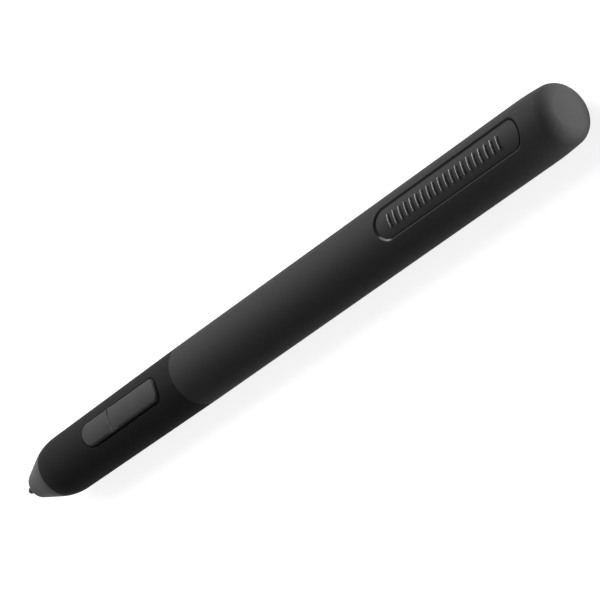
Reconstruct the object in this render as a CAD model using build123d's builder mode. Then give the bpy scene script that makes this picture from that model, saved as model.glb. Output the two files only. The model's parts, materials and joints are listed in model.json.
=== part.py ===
from build123d import *

import os
from math import radians, tan

# A slim digital pen for a graphics tablet, at its real size in millimetres.
# It lies along X with its nib towards -X and its two side keys up.
# Distances named "..._at" are measured along the pen from the tip of the nib,
# and heights and radii from the pen's axis.

# Outer form
length = 168.0
barrel_radius = 6.0
nib_protrusion = 2.95
cone_front_radius = 2.4
cone_shoulder_round = 1.45
cone_half_angle = 19.9
grip_nose_radius = 5.68
ogive_radius = 16.9
cone_length = 8.5
grip_length = 45.8
tail_ease_length = 9.4
tail_corner_radius = 5.48
tail_face_rise = 0.5
tail_shoulder_round = 2.7

# Fits and working gaps
slide_fit = 0.03
socket_fit = 0.05
running_gap = 0.08
nib_hole_clearance = 0.17
drop_in_gap = 0.1
cut_overrun = 1.0
wire_sides = 4

# Nib
nib_radius = 0.68
nib_length = 18.65
nib_tip_round_share = 0.98

# Nose cone
cone_web = 2.7
core_seat_depth = 2.0
cone_cavity_front_radius = 2.6
cone_spigot_bore_radius = 3.2
cone_spigot_length = 4.0
cone_spigot_chamfer = 0.3

# Soft grip and the stiff shell under it
sleeve_wall = 0.6
shell_bore_radius = 4.2
shell_spigot_length = 6.0
snap_bead_height = 0.2
snap_bead_width = 1.0
snap_bead_gap = 0.05

# Barrel
barrel_bore_radius = 4.9
barrel_rear_bore_radius = 4.3
barrel_end_wall = 9.0

# Side keys, seen from above
key_front_gap = 1.4
front_key_length = 9.1
key_rear_margin = 5.0
key_width = 4.3
key_rear_corner = 1.7
key_face_radius = 6.25
key_edge_round = 0.28
key_parting_gap = 0.14
key_slot_gap = 0.28
key_flange_width = 0.5
key_flange_thickness = 0.6
key_flange_top = 3.1
key_travel = 0.35

# Inlay in the back of the barrel
inlay_front_from_tail = 47.2
inlay_rear_from_tail = 7.1
inlay_width = 5.3
inlay_recess_depth = 0.5
inlay_thickness = 0.5
inlay_gap = 0.08
inlay_edge_chamfer = 0.12

# Core and coil in the nose
core_radius = 1.8
core_bore_clearance = 0.15
core_length = 8.95
coil_front_at = 8.25
coil_length = 4.8
coil_thickness = 0.5

# Nib pressure mechanism
holder_radius = 1.5
holder_cup_length = 4.0
holder_stop_gap = 0.05
nib_seat_gap = 0.05
flange_thickness = 0.7
bay_radius = 2.65
pusher_radius = 0.8
pusher_length = 2.2
pad_thickness = 0.6
nib_travel = 0.4
sensor_radius = 1.05
sensor_thickness = 0.8
sensor_cup_length = 2.2
spring_mean_radius = 1.5
spring_wire_radius = 0.14
spring_turns = 5

# Carrier
carrier_radius = 4.1
carrier_nose_length = 1.8
carrier_wall = 0.8
carrier_deck_height = -0.6
carrier_tail_length = 4.0
carrier_floor = 1.2
carrier_pocket_width = 4.0
carrier_pocket_count = 7
carrier_rib_thickness = 1.2
lead_groove_width = 0.7
lead_groove_height = 1.0
lead_groove_floor = 0.25

# Circuit board and what is on it
board_thickness = 0.8
board_width = 7.2
board_length = 62.0
board_front_gap = 0.4
screw_radius = 0.7
screw_head_radius = 1.2
screw_head_height = 0.6
screw_length = 2.6
screw_slot_width = 0.3
screw_end_distance = 1.7
switch_length = 3.5
switch_width = 3.0
switch_height = 1.5
plunger_radius = 0.75
plunger_insertion = 0.6
chip_size = 5.0
chip_height = 0.9
chip_place_share = 0.515
trimmer_radius = 1.5
trimmer_height = 1.1
trimmer_slot_depth = 0.3
trimmer_place_share = 0.64
capacitor_length = 2.0
capacitor_width = 1.2
capacitor_height = 0.8
capacitor_place_share = 0.72
capacitor_pitch = 3.2
capacitor_columns = 4
capacitor_rows = 2
capacitor_row_pitch = 3.0

# Leads from the coil to the board
lead_radius = 0.12
lead_bend_radius = 0.8
lead_side_offset = 2.95
lead_end_run = 1.0

# Buffer behind the carrier
buffer_length = 3.5
buffer_floor = 1.5

# Places along the pen that follow from the sizes above
cone_ring_at = nib_protrusion + cone_length
cone_corner_at = nib_protrusion + (grip_nose_radius - cone_front_radius) / tan(radians(cone_half_angle))
seam_at = cone_ring_at + grip_length
tail_ease_at = length - tail_ease_length
cone_spigot_end_at = cone_ring_at + cone_spigot_length
core_front_at = nib_protrusion + cone_web
core_rear_at = core_front_at + core_length
core_seat_end_at = core_front_at + core_seat_depth
carrier_front_at = core_rear_at - carrier_nose_length / 2
carrier_shoulder_at = cone_spigot_end_at + socket_fit
bay_front_at = core_rear_at + carrier_wall
holder_front_at = bay_front_at + holder_stop_gap
nib_socket_end_at = nib_length + nib_seat_gap
flange_front_at = holder_front_at + holder_cup_length
flange_rear_at = flange_front_at + flange_thickness
pusher_end_at = flange_rear_at + pusher_length
pad_end_at = pusher_end_at + pad_thickness
sensor_front_at = pad_end_at + nib_travel
bay_end_at = sensor_front_at + sensor_cup_length
deck_front_at = bay_end_at + carrier_wall
board_front_at = deck_front_at + board_front_gap
board_rear_at = board_front_at + board_length
carrier_rear_at = board_rear_at + carrier_tail_length
board_top = carrier_deck_height + board_thickness
chip_at = board_front_at + board_length * chip_place_share
trimmer_at = board_front_at + board_length * trimmer_place_share
capacitor_first_at = board_front_at + board_length * capacitor_place_share
switch_top = board_top + switch_height
key_front_at = deck_front_at + key_front_gap
key_parting_at = key_front_at + front_key_length
key_rear_at = seam_at - key_rear_margin
key_flange_bottom = key_flange_top - key_flange_thickness
front_switch_at = (key_front_at + key_parting_at) / 2
rear_switch_at = (key_parting_at + key_rear_at) / 2
buffer_rear_at = carrier_rear_at + buffer_floor
barrel_bore_end_at = length - barrel_end_wall
inlay_front_at = length - inlay_front_from_tail
inlay_rear_at = length - inlay_rear_from_tail
inlay_face_radius = barrel_radius - inlay_recess_depth
inlay_floor_radius = inlay_face_radius - inlay_thickness

# Planes that carry the sketches: the pen's long section, its plan seen from above,
# and its cross-section at a distance from the tip
pen_origin = Vector(-length / 2, 0, barrel_radius)
pen_axis = Axis(pen_origin, (1, 0, 0))
side = Plane(origin=pen_origin, x_dir=(1, 0, 0), z_dir=(0, -1, 0))
plan = Plane(origin=pen_origin, x_dir=(1, 0, 0), z_dir=(0, 0, 1))


def pen_point(at, across=0, up=0):
    """Point at a distance from the tip, beside and above the pen's axis."""
    return pen_origin + Vector(at, across, up)


def cross_section(at):
    """Plane square to the pen at a distance from the tip, X across and Y up."""
    return Plane(origin=pen_point(at), x_dir=(0, 1, 0), z_dir=(1, 0, 0))


def band(start, end, inner, outer, mode=Mode.ADD):
    """Rectangle in a long section, between two distances and two radii."""
    with Locations(((start + end) / 2, (inner + outer) / 2)):
        Rectangle(end - start, outer - inner, mode=mode)


def patch(at, width, depth, across=0, mode=Mode.ADD):
    """Rectangle in plan, centred at a distance from the tip."""
    with Locations((at, across)):
        Rectangle(width, depth, mode=mode)


def outer_half_section(inset):
    """Half section of the whole outer form from cone to tail, drawn in by inset."""
    with BuildSketch() as half:
        with BuildLine():
            Polyline(
                (nib_protrusion, 0),
                (nib_protrusion, cone_front_radius),
                (cone_corner_at, grip_nose_radius),
                (seam_at, barrel_radius),
                (tail_ease_at, barrel_radius),
            )
            TangentArc(
                (tail_ease_at, barrel_radius),
                (length - tail_face_rise, tail_corner_radius),
                tangent=(1, 0),
            )
            TangentArc((length, 0), (length - tail_face_rise, tail_corner_radius), tangent=(0, 1))
            Line((length, 0), (nib_protrusion, 0))
        make_face()
        corner_rounds = (
            ((nib_protrusion, cone_front_radius), cone_shoulder_round),
            ((cone_corner_at, grip_nose_radius), ogive_radius),
            ((length - tail_face_rise, tail_corner_radius), tail_shoulder_round),
        )
        for corner, radius in corner_rounds:
            fillet(half.vertices().sort_by_distance(corner)[0], radius)
        if inset > 0:
            mirror(about=Plane.XZ)
            offset(amount=-inset, kind=Kind.INTERSECTION)
            band(0, length, 0, barrel_radius, mode=Mode.INTERSECT)
    return half.sketch


def key_outline(margin, start, end):
    """Plan of the key pair, grown by margin and kept between two distances."""
    front_radius = key_width / 2
    with BuildSketch() as outline:
        with BuildLine():
            front_top = (key_front_at + front_radius, front_radius)
            front_bottom = (key_front_at + front_radius, -front_radius)
            ThreePointArc(front_bottom, (key_front_at, 0), front_top)
            Polyline(front_top, (key_rear_at, front_radius), (key_rear_at, -front_radius), front_bottom)
        make_face()
        fillet(outline.vertices().group_by(Axis.X)[-1], key_rear_corner)
        if margin > 0:
            offset(amount=margin, kind=Kind.INTERSECTION)
        patch((start + end) / 2, end - start, key_width + 2 * margin + cut_overrun, mode=Mode.INTERSECT)
    return outline.sketch


whole_slot = (key_front_at - cut_overrun, key_rear_at + cut_overrun)

# Nose cone: fixed cone with the hole for the nib, a seat for the core and a spigot
# that plugs into the shell
with BuildPart() as nose_cone:
    with BuildSketch(side):
        add(outer_half_section(0))
        band(0, cone_ring_at, 0, barrel_radius, mode=Mode.INTERSECT)
        spigot_radius = shell_bore_radius - socket_fit
        band(cone_ring_at, cone_spigot_end_at, cone_spigot_bore_radius, spigot_radius)
        band(0, core_front_at, 0, nib_radius + nib_hole_clearance, mode=Mode.SUBTRACT)
        band(core_front_at, core_seat_end_at, 0, core_radius + socket_fit, mode=Mode.SUBTRACT)
        with BuildLine():
            Polyline(
                (core_seat_end_at, 0),
                (core_seat_end_at, cone_cavity_front_radius),
                (cone_ring_at, cone_spigot_bore_radius),
                (cone_spigot_end_at, cone_spigot_bore_radius),
                (cone_spigot_end_at, 0),
                close=True,
            )
        make_face(mode=Mode.SUBTRACT)
    revolve(axis=pen_axis)
    spigot_end = nose_cone.faces().sort_by(Axis.X)[-1]
    chamfer(spigot_end.edges().sort_by(SortBy.RADIUS)[-1], cone_spigot_chamfer)
nose_cone.part.label = "nose_cone"

# Soft grip sleeve: ogive nose, then a slow taper up to the barrel, with the key slot
with BuildPart() as grip_sleeve:
    with BuildSketch(side):
        add(outer_half_section(0))
        add(outer_half_section(sleeve_wall), mode=Mode.SUBTRACT)
        band(cone_ring_at, seam_at, 0, barrel_radius, mode=Mode.INTERSECT)
    revolve(axis=pen_axis)
    with BuildSketch(plan):
        add(key_outline(key_slot_gap, *whole_slot))
    extrude(amount=barrel_radius + cut_overrun, mode=Mode.SUBTRACT)
grip_sleeve.part.label = "grip_sleeve"

# Front shell: stiff tube under the grip, with the key slot and a spigot for the barrel
bead_at = seam_at + shell_spigot_length / 2
shell_spigot_radius = barrel_bore_radius - socket_fit
with BuildPart() as front_shell:
    with BuildSketch(side):
        add(outer_half_section(sleeve_wall + slide_fit))
        band(cone_ring_at, seam_at, 0, barrel_radius, mode=Mode.INTERSECT)
        band(seam_at, seam_at + shell_spigot_length, shell_bore_radius, shell_spigot_radius)
        with BuildLine():
            Polyline(
                (bead_at - snap_bead_width / 2, shell_spigot_radius),
                (bead_at, shell_spigot_radius + snap_bead_height),
                (bead_at + snap_bead_width / 2, shell_spigot_radius),
                close=True,
            )
        make_face()
        band(cone_ring_at, seam_at, 0, shell_bore_radius, mode=Mode.SUBTRACT)
    revolve(axis=pen_axis)
    with BuildSketch(plan):
        add(key_outline(key_slot_gap, *whole_slot))
    extrude(amount=barrel_radius + cut_overrun, mode=Mode.SUBTRACT)
front_shell.part.label = "front_shell"


def inlay_outline(margin):
    """Plan of the inlay recess, a slot with round ends, drawn in by margin."""
    with BuildSketch() as outline:
        with Locations(((inlay_front_at + inlay_rear_at) / 2, 0)):
            SlotOverall(inlay_rear_at - inlay_front_at - 2 * margin, inlay_width - 2 * margin)
    return outline.sketch


# Cutter for the inlay's recess: its floor follows the round of the barrel
with BuildPart() as inlay_recess:
    with BuildSketch(plan):
        add(inlay_outline(0))
    extrude(amount=barrel_radius + cut_overrun)
    with BuildSketch(cross_section(0)):
        Circle(inlay_floor_radius)
    extrude(amount=length, mode=Mode.SUBTRACT)

# Barrel: plain tube with a closed, softly shouldered tail
with BuildPart() as barrel:
    with BuildSketch(side):
        add(outer_half_section(0))
        band(seam_at, length, 0, barrel_radius, mode=Mode.INTERSECT)
        band(seam_at, buffer_rear_at, 0, barrel_bore_radius, mode=Mode.SUBTRACT)
        band(seam_at, barrel_bore_end_at, 0, barrel_rear_bore_radius, mode=Mode.SUBTRACT)
        bead_half = snap_bead_width / 2 + snap_bead_gap
        with BuildLine():
            Polyline(
                (bead_at - bead_half, barrel_bore_radius),
                (bead_at, barrel_bore_radius + snap_bead_height),
                (bead_at + bead_half, barrel_bore_radius),
                close=True,
            )
        make_face(mode=Mode.SUBTRACT)
    revolve(axis=pen_axis)
    add(inlay_recess.part, mode=Mode.SUBTRACT)
barrel.part.label = "barrel"

# Inlay: thin curved plate in the recess
with BuildPart() as barrel_inlay:
    with BuildSketch(plan):
        add(inlay_outline(inlay_gap))
    extrude(amount=barrel_radius)
    with BuildSketch(cross_section(0)):
        Circle(inlay_face_radius)
        Circle(inlay_floor_radius + slide_fit, mode=Mode.SUBTRACT)
    extrude(amount=length, mode=Mode.INTERSECT)
    chamfer(barrel_inlay.faces().sort_by(Axis.Z)[-1].edges(), inlay_edge_chamfer)
barrel_inlay.part.label = "barrel_inlay"


def side_key(start, end):
    """Key with a face round the pen's axis and a flange that holds it under the shell."""
    with BuildPart() as key:
        with BuildSketch(plan.offset(key_flange_bottom)):
            add(key_outline(0, start, end))
        extrude(amount=key_face_radius)
        with BuildSketch(cross_section(0)):
            Circle(key_face_radius)
        extrude(amount=length, mode=Mode.INTERSECT)
        key_face = key.faces().filter_by(GeomType.PLANE, reverse=True).sort_by(Axis.Z)[-1]
        fillet(key_face.edges(), key_edge_round)
        with BuildSketch(plan.offset(key_flange_bottom)):
            add(key_outline(key_flange_width, start, end))
        extrude(amount=key_flange_thickness)
    return key.part


front_button = side_key(key_front_at - cut_overrun, key_parting_at - key_parting_gap / 2)
front_button.label = "front_button"
rear_button = side_key(key_parting_at + key_parting_gap / 2, key_rear_at + cut_overrun)
rear_button.label = "rear_button"

# Nib: straight stem with a round tip, held at its rear in the holder
with BuildPart() as nib:
    with BuildSketch(side) as nib_section:
        band(0, nib_length, 0, nib_radius)
        tip_corner = nib_section.vertices().group_by(Axis.X)[0].sort_by(Axis.Y)[-1]
        fillet(tip_corner, nib_radius * nib_tip_round_share)
    revolve(axis=pen_axis)
nib.part.label = "nib"

# Core: ferrite tube round the nib, seated in the cone and in the carrier
with BuildPart() as ferrite_core:
    with BuildSketch(side):
        bore = nib_radius + core_bore_clearance
        band(core_front_at, core_rear_at, bore, core_radius)
    revolve(axis=pen_axis)
ferrite_core.part.label = "ferrite_core"

# Coil: winding on the core
with BuildPart() as coil_winding:
    with BuildSketch(side):
        inner = core_radius + slide_fit
        band(coil_front_at, coil_front_at + coil_length, inner, inner + coil_thickness)
    revolve(axis=pen_axis)
coil_winding.part.label = "coil_winding"

# Nib holder: cup that grips the nib, guide flange, and the pusher behind it
with BuildPart() as nib_holder:
    with BuildSketch(side):
        band(holder_front_at, flange_front_at, 0, holder_radius)
        band(flange_front_at, flange_rear_at, 0, bay_radius - running_gap)
        band(flange_rear_at, pusher_end_at, 0, pusher_radius)
        band(holder_front_at, nib_socket_end_at, 0, nib_radius + slide_fit, mode=Mode.SUBTRACT)
    revolve(axis=pen_axis)
nib_holder.part.label = "nib_holder"

# Contact pad: conductive rubber on the end of the pusher
with BuildPart() as contact_pad:
    with BuildSketch(side):
        band(pusher_end_at, pad_end_at, 0, pusher_radius)
    revolve(axis=pen_axis)
contact_pad.part.label = "contact_pad"

# Pressure sensor: disc in the front of its cup
with BuildPart() as pressure_sensor:
    with BuildSketch(side):
        band(sensor_front_at, sensor_front_at + sensor_thickness, 0, sensor_radius)
    revolve(axis=pen_axis)
pressure_sensor.part.label = "pressure_sensor"

with BuildPart() as sensor_cup:
    with BuildSketch(side):
        band(sensor_front_at, bay_end_at, 0, bay_radius - slide_fit)
        seat_end = sensor_front_at + sensor_thickness
        band(sensor_front_at, seat_end, 0, sensor_radius + slide_fit, mode=Mode.SUBTRACT)
    revolve(axis=pen_axis)
sensor_cup.part.label = "sensor_cup"

# Return spring: round wire between the flange and the cup
spring_margin = spring_wire_radius + slide_fit
spring_height = sensor_front_at - flange_rear_at - 2 * spring_margin
with BuildPart() as return_spring:
    with BuildLine() as coil_line:
        Helix(
            pitch=spring_height / spring_turns,
            height=spring_height,
            radius=spring_mean_radius,
            center=pen_point(flange_rear_at + spring_margin),
            direction=(1, 0, 0),
        )
    with BuildSketch(Plane(origin=coil_line.line @ 0, z_dir=coil_line.line % 0)):
        RegularPolygon(spring_wire_radius, wire_sides)
    sweep(is_frenet=True)
return_spring.part.label = "return_spring"

# Screw places on the board, and the stretch of carrier between them
screw_places = (board_front_at + screw_end_distance, board_rear_at - screw_end_distance)
pocket_field_front = screw_places[0] + screw_end_distance
pocket_field_length = screw_places[1] - screw_end_distance - pocket_field_front
pocket_pitch = pocket_field_length / carrier_pocket_count

# Carrier: open trough that holds the mechanism in front and the board behind
with BuildPart() as core_carrier:
    with BuildSketch(side):
        nose_radius = cone_spigot_bore_radius - drop_in_gap
        band(carrier_front_at, carrier_shoulder_at, 0, nose_radius)
        band(carrier_shoulder_at, carrier_rear_at, 0, carrier_radius)
        band(carrier_front_at, core_rear_at, 0, core_radius + socket_fit, mode=Mode.SUBTRACT)
        band(core_rear_at, bay_front_at, 0, nib_radius + core_bore_clearance, mode=Mode.SUBTRACT)
        band(bay_front_at, bay_end_at, 0, bay_radius, mode=Mode.SUBTRACT)
    revolve(axis=pen_axis)
    # The bay opens upwards, so that the mechanism drops in
    with BuildSketch(plan):
        patch((bay_front_at + bay_end_at) / 2, bay_end_at - bay_front_at, 2 * bay_radius)
    extrude(amount=carrier_radius + cut_overrun, mode=Mode.SUBTRACT)
    # Flat deck for the board
    deck_length = carrier_rear_at - deck_front_at + cut_overrun
    with BuildSketch(plan.offset(carrier_deck_height)):
        patch(deck_front_at + deck_length / 2, deck_length, 2 * carrier_radius + cut_overrun)
    extrude(amount=2 * carrier_radius, mode=Mode.SUBTRACT)
    # Pockets under the board, with a rib between each two
    pocket_depth = carrier_radius - carrier_floor + carrier_deck_height
    with BuildSketch(plan.offset(carrier_deck_height)):
        with Locations((pocket_field_front + pocket_field_length / 2, 0)):
            with GridLocations(pocket_pitch, 0, carrier_pocket_count, 1):
                Rectangle(pocket_pitch - carrier_rib_thickness, carrier_pocket_width)
    extrude(amount=-pocket_depth, mode=Mode.SUBTRACT)
    # Screw holes
    with BuildSketch(plan.offset(carrier_deck_height)):
        with Locations([(at, 0) for at in screw_places]):
            Circle(screw_radius + slide_fit)
    extrude(amount=-(screw_length - board_thickness + drop_in_gap), mode=Mode.SUBTRACT)
    # Grooves for the coil's leads
    groove_length = deck_front_at - carrier_front_at + cut_overrun
    groove_at = carrier_front_at + groove_length / 2
    with BuildSketch(plan.offset(-lead_groove_floor)):
        for across in (-lead_side_offset, lead_side_offset):
            patch(groove_at, groove_length, lead_groove_width, across)
    extrude(amount=lead_groove_height, mode=Mode.SUBTRACT)
core_carrier.part.label = "core_carrier"

# Circuit board, screwed down on the deck
with BuildPart() as circuit_board:
    with BuildSketch(plan.offset(carrier_deck_height)):
        patch(board_front_at + board_length / 2, board_length, board_width)
        with Locations([(at, 0) for at in screw_places]):
            Circle(screw_radius + slide_fit, mode=Mode.SUBTRACT)
    extrude(amount=board_thickness)
circuit_board.part.label = "circuit_board"

# Board screws with a driving slot
with BuildPart() as board_screws:
    with BuildSketch(plan.offset(board_top)):
        with Locations([(at, 0) for at in screw_places]):
            Circle(screw_head_radius)
    extrude(amount=screw_head_height)
    with BuildSketch(plan.offset(board_top)):
        with Locations([(at, 0) for at in screw_places]):
            Circle(screw_radius)
    extrude(amount=-screw_length)
    with BuildSketch(plan.offset(board_top + screw_head_height)):
        with Locations([(at, 0) for at in screw_places]):
            Rectangle(screw_slot_width, 2 * screw_head_radius + cut_overrun)
    extrude(amount=-screw_head_height / 2, mode=Mode.SUBTRACT)
board_screws.part.label = "board_screws"


def switch_housing(at):
    """Square switch body on the board, with a round well for its plunger."""
    with BuildPart() as housing:
        with BuildSketch(plan.offset(board_top)):
            patch(at, switch_length, switch_width)
        extrude(amount=switch_height)
        with BuildSketch(plan.offset(switch_top)):
            with Locations((at, 0)):
                Circle(plunger_radius + running_gap)
        extrude(amount=-(plunger_insertion + key_travel + drop_in_gap), mode=Mode.SUBTRACT)
    return housing.part


def switch_plunger(at):
    """Round plunger that stands in the switch and carries the key's flange."""
    with BuildPart() as plunger:
        with BuildSketch(plan.offset(switch_top - plunger_insertion)):
            with Locations((at, 0)):
                Circle(plunger_radius)
        extrude(amount=key_flange_bottom - switch_top + plunger_insertion)
    return plunger.part


front_switch = switch_housing(front_switch_at)
front_switch.label = "front_switch"
rear_switch = switch_housing(rear_switch_at)
rear_switch.label = "rear_switch"
front_switch_plunger = switch_plunger(front_switch_at)
front_switch_plunger.label = "front_switch_plunger"
rear_switch_plunger = switch_plunger(rear_switch_at)
rear_switch_plunger.label = "rear_switch_plunger"

# Control chip
with BuildPart() as control_chip:
    with BuildSketch(plan.offset(board_top)):
        patch(chip_at, chip_size, chip_size)
    extrude(amount=chip_height)
control_chip.part.label = "control_chip"

# Tuning trimmer: round turning part with a slot
with BuildPart() as tuning_trimmer:
    with BuildSketch(plan.offset(board_top)):
        with Locations((trimmer_at, 0)):
            Circle(trimmer_radius)
    extrude(amount=trimmer_height)
    with BuildSketch(plan.offset(board_top + trimmer_height)):
        patch(trimmer_at, screw_slot_width, 2 * trimmer_radius + cut_overrun)
    extrude(amount=-trimmer_slot_depth, mode=Mode.SUBTRACT)
tuning_trimmer.part.label = "tuning_trimmer"

# Capacitors in two rows
capacitor_field = capacitor_first_at + capacitor_pitch * (capacitor_columns - 1) / 2
with BuildPart() as capacitors:
    with BuildSketch(plan.offset(board_top)):
        with Locations((capacitor_field, 0)):
            with GridLocations(capacitor_pitch, capacitor_row_pitch, capacitor_columns, capacitor_rows):
                Rectangle(capacitor_length, capacitor_width)
    extrude(amount=capacitor_height)
capacitors.part.label = "capacitors"

# Leads: from the rear of the winding, along the carrier's grooves, up on to the board
coil_rear_at = coil_front_at + coil_length
lead_start_offset = core_radius + slide_fit + coil_thickness + slide_fit + lead_radius
lead_height = board_top + slide_fit + lead_radius
lead_route = (
    pen_point(coil_rear_at - lead_end_run, lead_start_offset),
    pen_point(coil_rear_at - lead_end_run / 4, lead_start_offset),
    pen_point(carrier_front_at - slide_fit, lead_side_offset),
    pen_point(deck_front_at - lead_end_run, lead_side_offset),
    pen_point(board_front_at - slide_fit, lead_side_offset, lead_height),
    pen_point(board_front_at + lead_end_run, lead_side_offset, lead_height),
)
with BuildPart() as coil_leads:
    with BuildLine() as lead_path:
        FilletPolyline(*lead_route, radius=lead_bend_radius)
    with BuildSketch(Plane(origin=lead_path.line @ 0, z_dir=lead_path.line % 0)):
        RegularPolygon(lead_radius, wire_sides)
    sweep()
    mirror(about=Plane.XZ)
coil_leads.part.label = "coil_leads"

# Buffer: rubber cup on the carrier's rear end, seated on the step in the barrel
buffer_front_at = buffer_rear_at - buffer_length
with BuildPart() as carrier_buffer:
    with BuildSketch(side):
        band(buffer_front_at, buffer_rear_at, 0, barrel_bore_radius - socket_fit)
        band(buffer_front_at, carrier_rear_at, 0, carrier_radius + socket_fit, mode=Mode.SUBTRACT)
    revolve(axis=pen_axis)
carrier_buffer.part.label = "carrier_buffer"

pieces = (
    nose_cone.part,
    grip_sleeve.part,
    front_shell.part,
    barrel.part,
    barrel_inlay.part,
    front_button,
    rear_button,
    nib.part,
    ferrite_core.part,
    coil_winding.part,
    coil_leads.part,
    nib_holder.part,
    contact_pad.part,
    return_spring.part,
    pressure_sensor.part,
    sensor_cup.part,
    core_carrier.part,
    circuit_board.part,
    board_screws.part,
    front_switch,
    rear_switch,
    front_switch_plunger,
    rear_switch_plunger,
    control_chip.part,
    tuning_trimmer.part,
    capacitors.part,
    carrier_buffer.part,
)

os.makedirs("parts", exist_ok=True)
for piece in pieces:
    export_step(piece, f"parts/{piece.label}.step")
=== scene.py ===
"""Looks of a slim digital pen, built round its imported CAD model.

The pen lies along X with its nib towards -X and its side keys up. Sizes are in millimetres, measured along the pen
from the tip of the nib, across it, and from its axis. They become metres in the model's frame when a mesh is made.
"""

import json
import logging
import math
from collections.abc import Callable
from dataclasses import dataclass
from enum import Enum

import bpy
from bpy.types import Material, Node, NodeSocket, NodeTree, Object, bpy_prop_collection
from mathutils import Matrix, Vector


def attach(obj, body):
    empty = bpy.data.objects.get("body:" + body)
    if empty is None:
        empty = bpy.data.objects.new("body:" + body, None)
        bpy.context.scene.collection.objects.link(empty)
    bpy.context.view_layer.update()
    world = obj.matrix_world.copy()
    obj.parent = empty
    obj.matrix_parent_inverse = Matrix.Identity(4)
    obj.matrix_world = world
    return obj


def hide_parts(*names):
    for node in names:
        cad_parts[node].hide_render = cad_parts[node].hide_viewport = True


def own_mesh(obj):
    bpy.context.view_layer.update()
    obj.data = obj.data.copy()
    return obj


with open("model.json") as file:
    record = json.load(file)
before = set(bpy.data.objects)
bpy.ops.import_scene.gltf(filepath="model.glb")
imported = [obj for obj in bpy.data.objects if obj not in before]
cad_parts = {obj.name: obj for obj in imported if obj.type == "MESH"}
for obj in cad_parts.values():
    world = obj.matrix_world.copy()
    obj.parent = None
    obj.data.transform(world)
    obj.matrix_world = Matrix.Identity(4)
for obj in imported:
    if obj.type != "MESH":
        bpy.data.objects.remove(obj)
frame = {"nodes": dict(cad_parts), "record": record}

log = logging.getLogger("pen")
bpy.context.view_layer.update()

HALF_LENGTH = 84.0
AXIS_HEIGHT = 6.0
COLUMNS = 160
TURNS = [
    (math.sin(turn), math.cos(turn)) for turn in (2.0 * math.pi * column / COLUMNS for column in range(COLUMNS))
]
TINY = 1e-6

# Chords of what is rounded in the long section
EDGE_STEPS = 4
HOLE_STEPS = 5
SHOULDER_STEPS = 12
TIP_STEPS = 14
FACE_STEPS = 10

# A loop so far inside the edge of a face keeps its shading even
FACE_INSET = 0.05

# A place in two parts, then the surface's outward normal there in the same two parts
Placed = tuple[float, float, float, float]
EdgeShape = Callable[[float, float, int], list[Placed]]


def pen_point(at: float, across: float, up: float) -> Vector:
    """Place in the model's frame, in metres, of a point given in the pen's own millimetres."""
    return Vector((at - HALF_LENGTH, across, up + AXIS_HEIGHT)) / 1000.0


def plan_place(point: Vector) -> tuple[float, float]:
    """Place in plan, in the pen's own millimetres, of a point in metres."""
    place = point * 1000.0
    return place.x + HALF_LENGTH, place.y


def add_object(name: str, data: bpy.types.ID) -> Object:
    """Adds an object to the scene.

    Args:
        name: Its name.
        data: Its mesh, light or camera.

    Returns:
        The object.
    """
    made = bpy.data.objects.new(name, data)
    bpy.context.scene.collection.objects.link(made)
    return made


@dataclass(frozen=True)
class Sample:
    """Point of a turned profile, with the outward normal of its surface there."""

    at: float
    radius: float
    normal_at: float
    normal_radius: float

    def sunk(self, depth: float) -> "Sample":
        """The same place at a depth under the surface."""
        at, radius = self.at - depth * self.normal_at, self.radius - depth * self.normal_radius
        return Sample(at, radius, self.normal_at, self.normal_radius)

    def facing_in(self) -> "Sample":
        """The same point with its normal turned round."""
        return Sample(self.at, self.radius, -self.normal_at, -self.normal_radius)


def arc_samples(centre: tuple[float, float], radius: float, first: float, last: float, steps: int) -> list[Sample]:
    """Samples of an arc in the long section, with normals away from its centre if its angle falls.

    Args:
        centre: Centre of the arc, along the pen and from the axis.
        radius: Radius of the arc.
        first: Angle of the first point in degrees.
        last: Angle of the last point in degrees.
        steps: Number of chords.

    Returns:
        The samples in order.
    """
    sense = 1.0 if last < first else -1.0
    samples = []
    for step in range(steps + 1):
        angle = math.radians(first + (last - first) * step / steps)
        along, out = math.cos(angle), math.sin(angle)
        samples.append(Sample(centre[0] + radius * along, centre[1] + radius * out, sense * along, sense * out))
    return samples


def line_samples(start: tuple[float, float], end: tuple[float, float], steps: int = 1) -> list[Sample]:
    """Samples of a straight run in the long section, with the outside on its left.

    Args:
        start: First point, along the pen and from the axis.
        end: Last point.
        steps: Number of equal parts.

    Returns:
        The samples in order.
    """
    run, rise = end[0] - start[0], end[1] - start[1]
    size = math.hypot(run, rise)
    return [
        Sample(start[0] + run * step / steps, start[1] + rise * step / steps, -rise / size, run / size)
        for step in range(steps + 1)
    ]


def corner_round(slope: float, radius: float, steps: int) -> list[Placed]:
    """Round between a sloping top, which runs into the material, and a wall that drops from the corner.

    Args:
        slope: Rise of the top for each unit into the material.
        radius: Radius of the round.
        steps: Number of chords.

    Returns:
        Its points from the top to the wall, by their distance into the material and their height from the corner.
    """
    top = Vector((1.0, slope)).normalized()
    wall = Vector((0.0, -1.0))
    half = math.acos(top.dot(wall)) / 2.0
    centre = (top + wall).normalized() * (radius / math.sin(half))
    first = math.atan2(top.x, -top.y)
    points = []
    for step in range(steps + 1):
        angle = first + (math.pi - first) * step / steps
        normal = (math.cos(angle), math.sin(angle))
        points.append((centre.x + radius * normal[0], centre.y + radius * normal[1], *normal))
    return points


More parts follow.
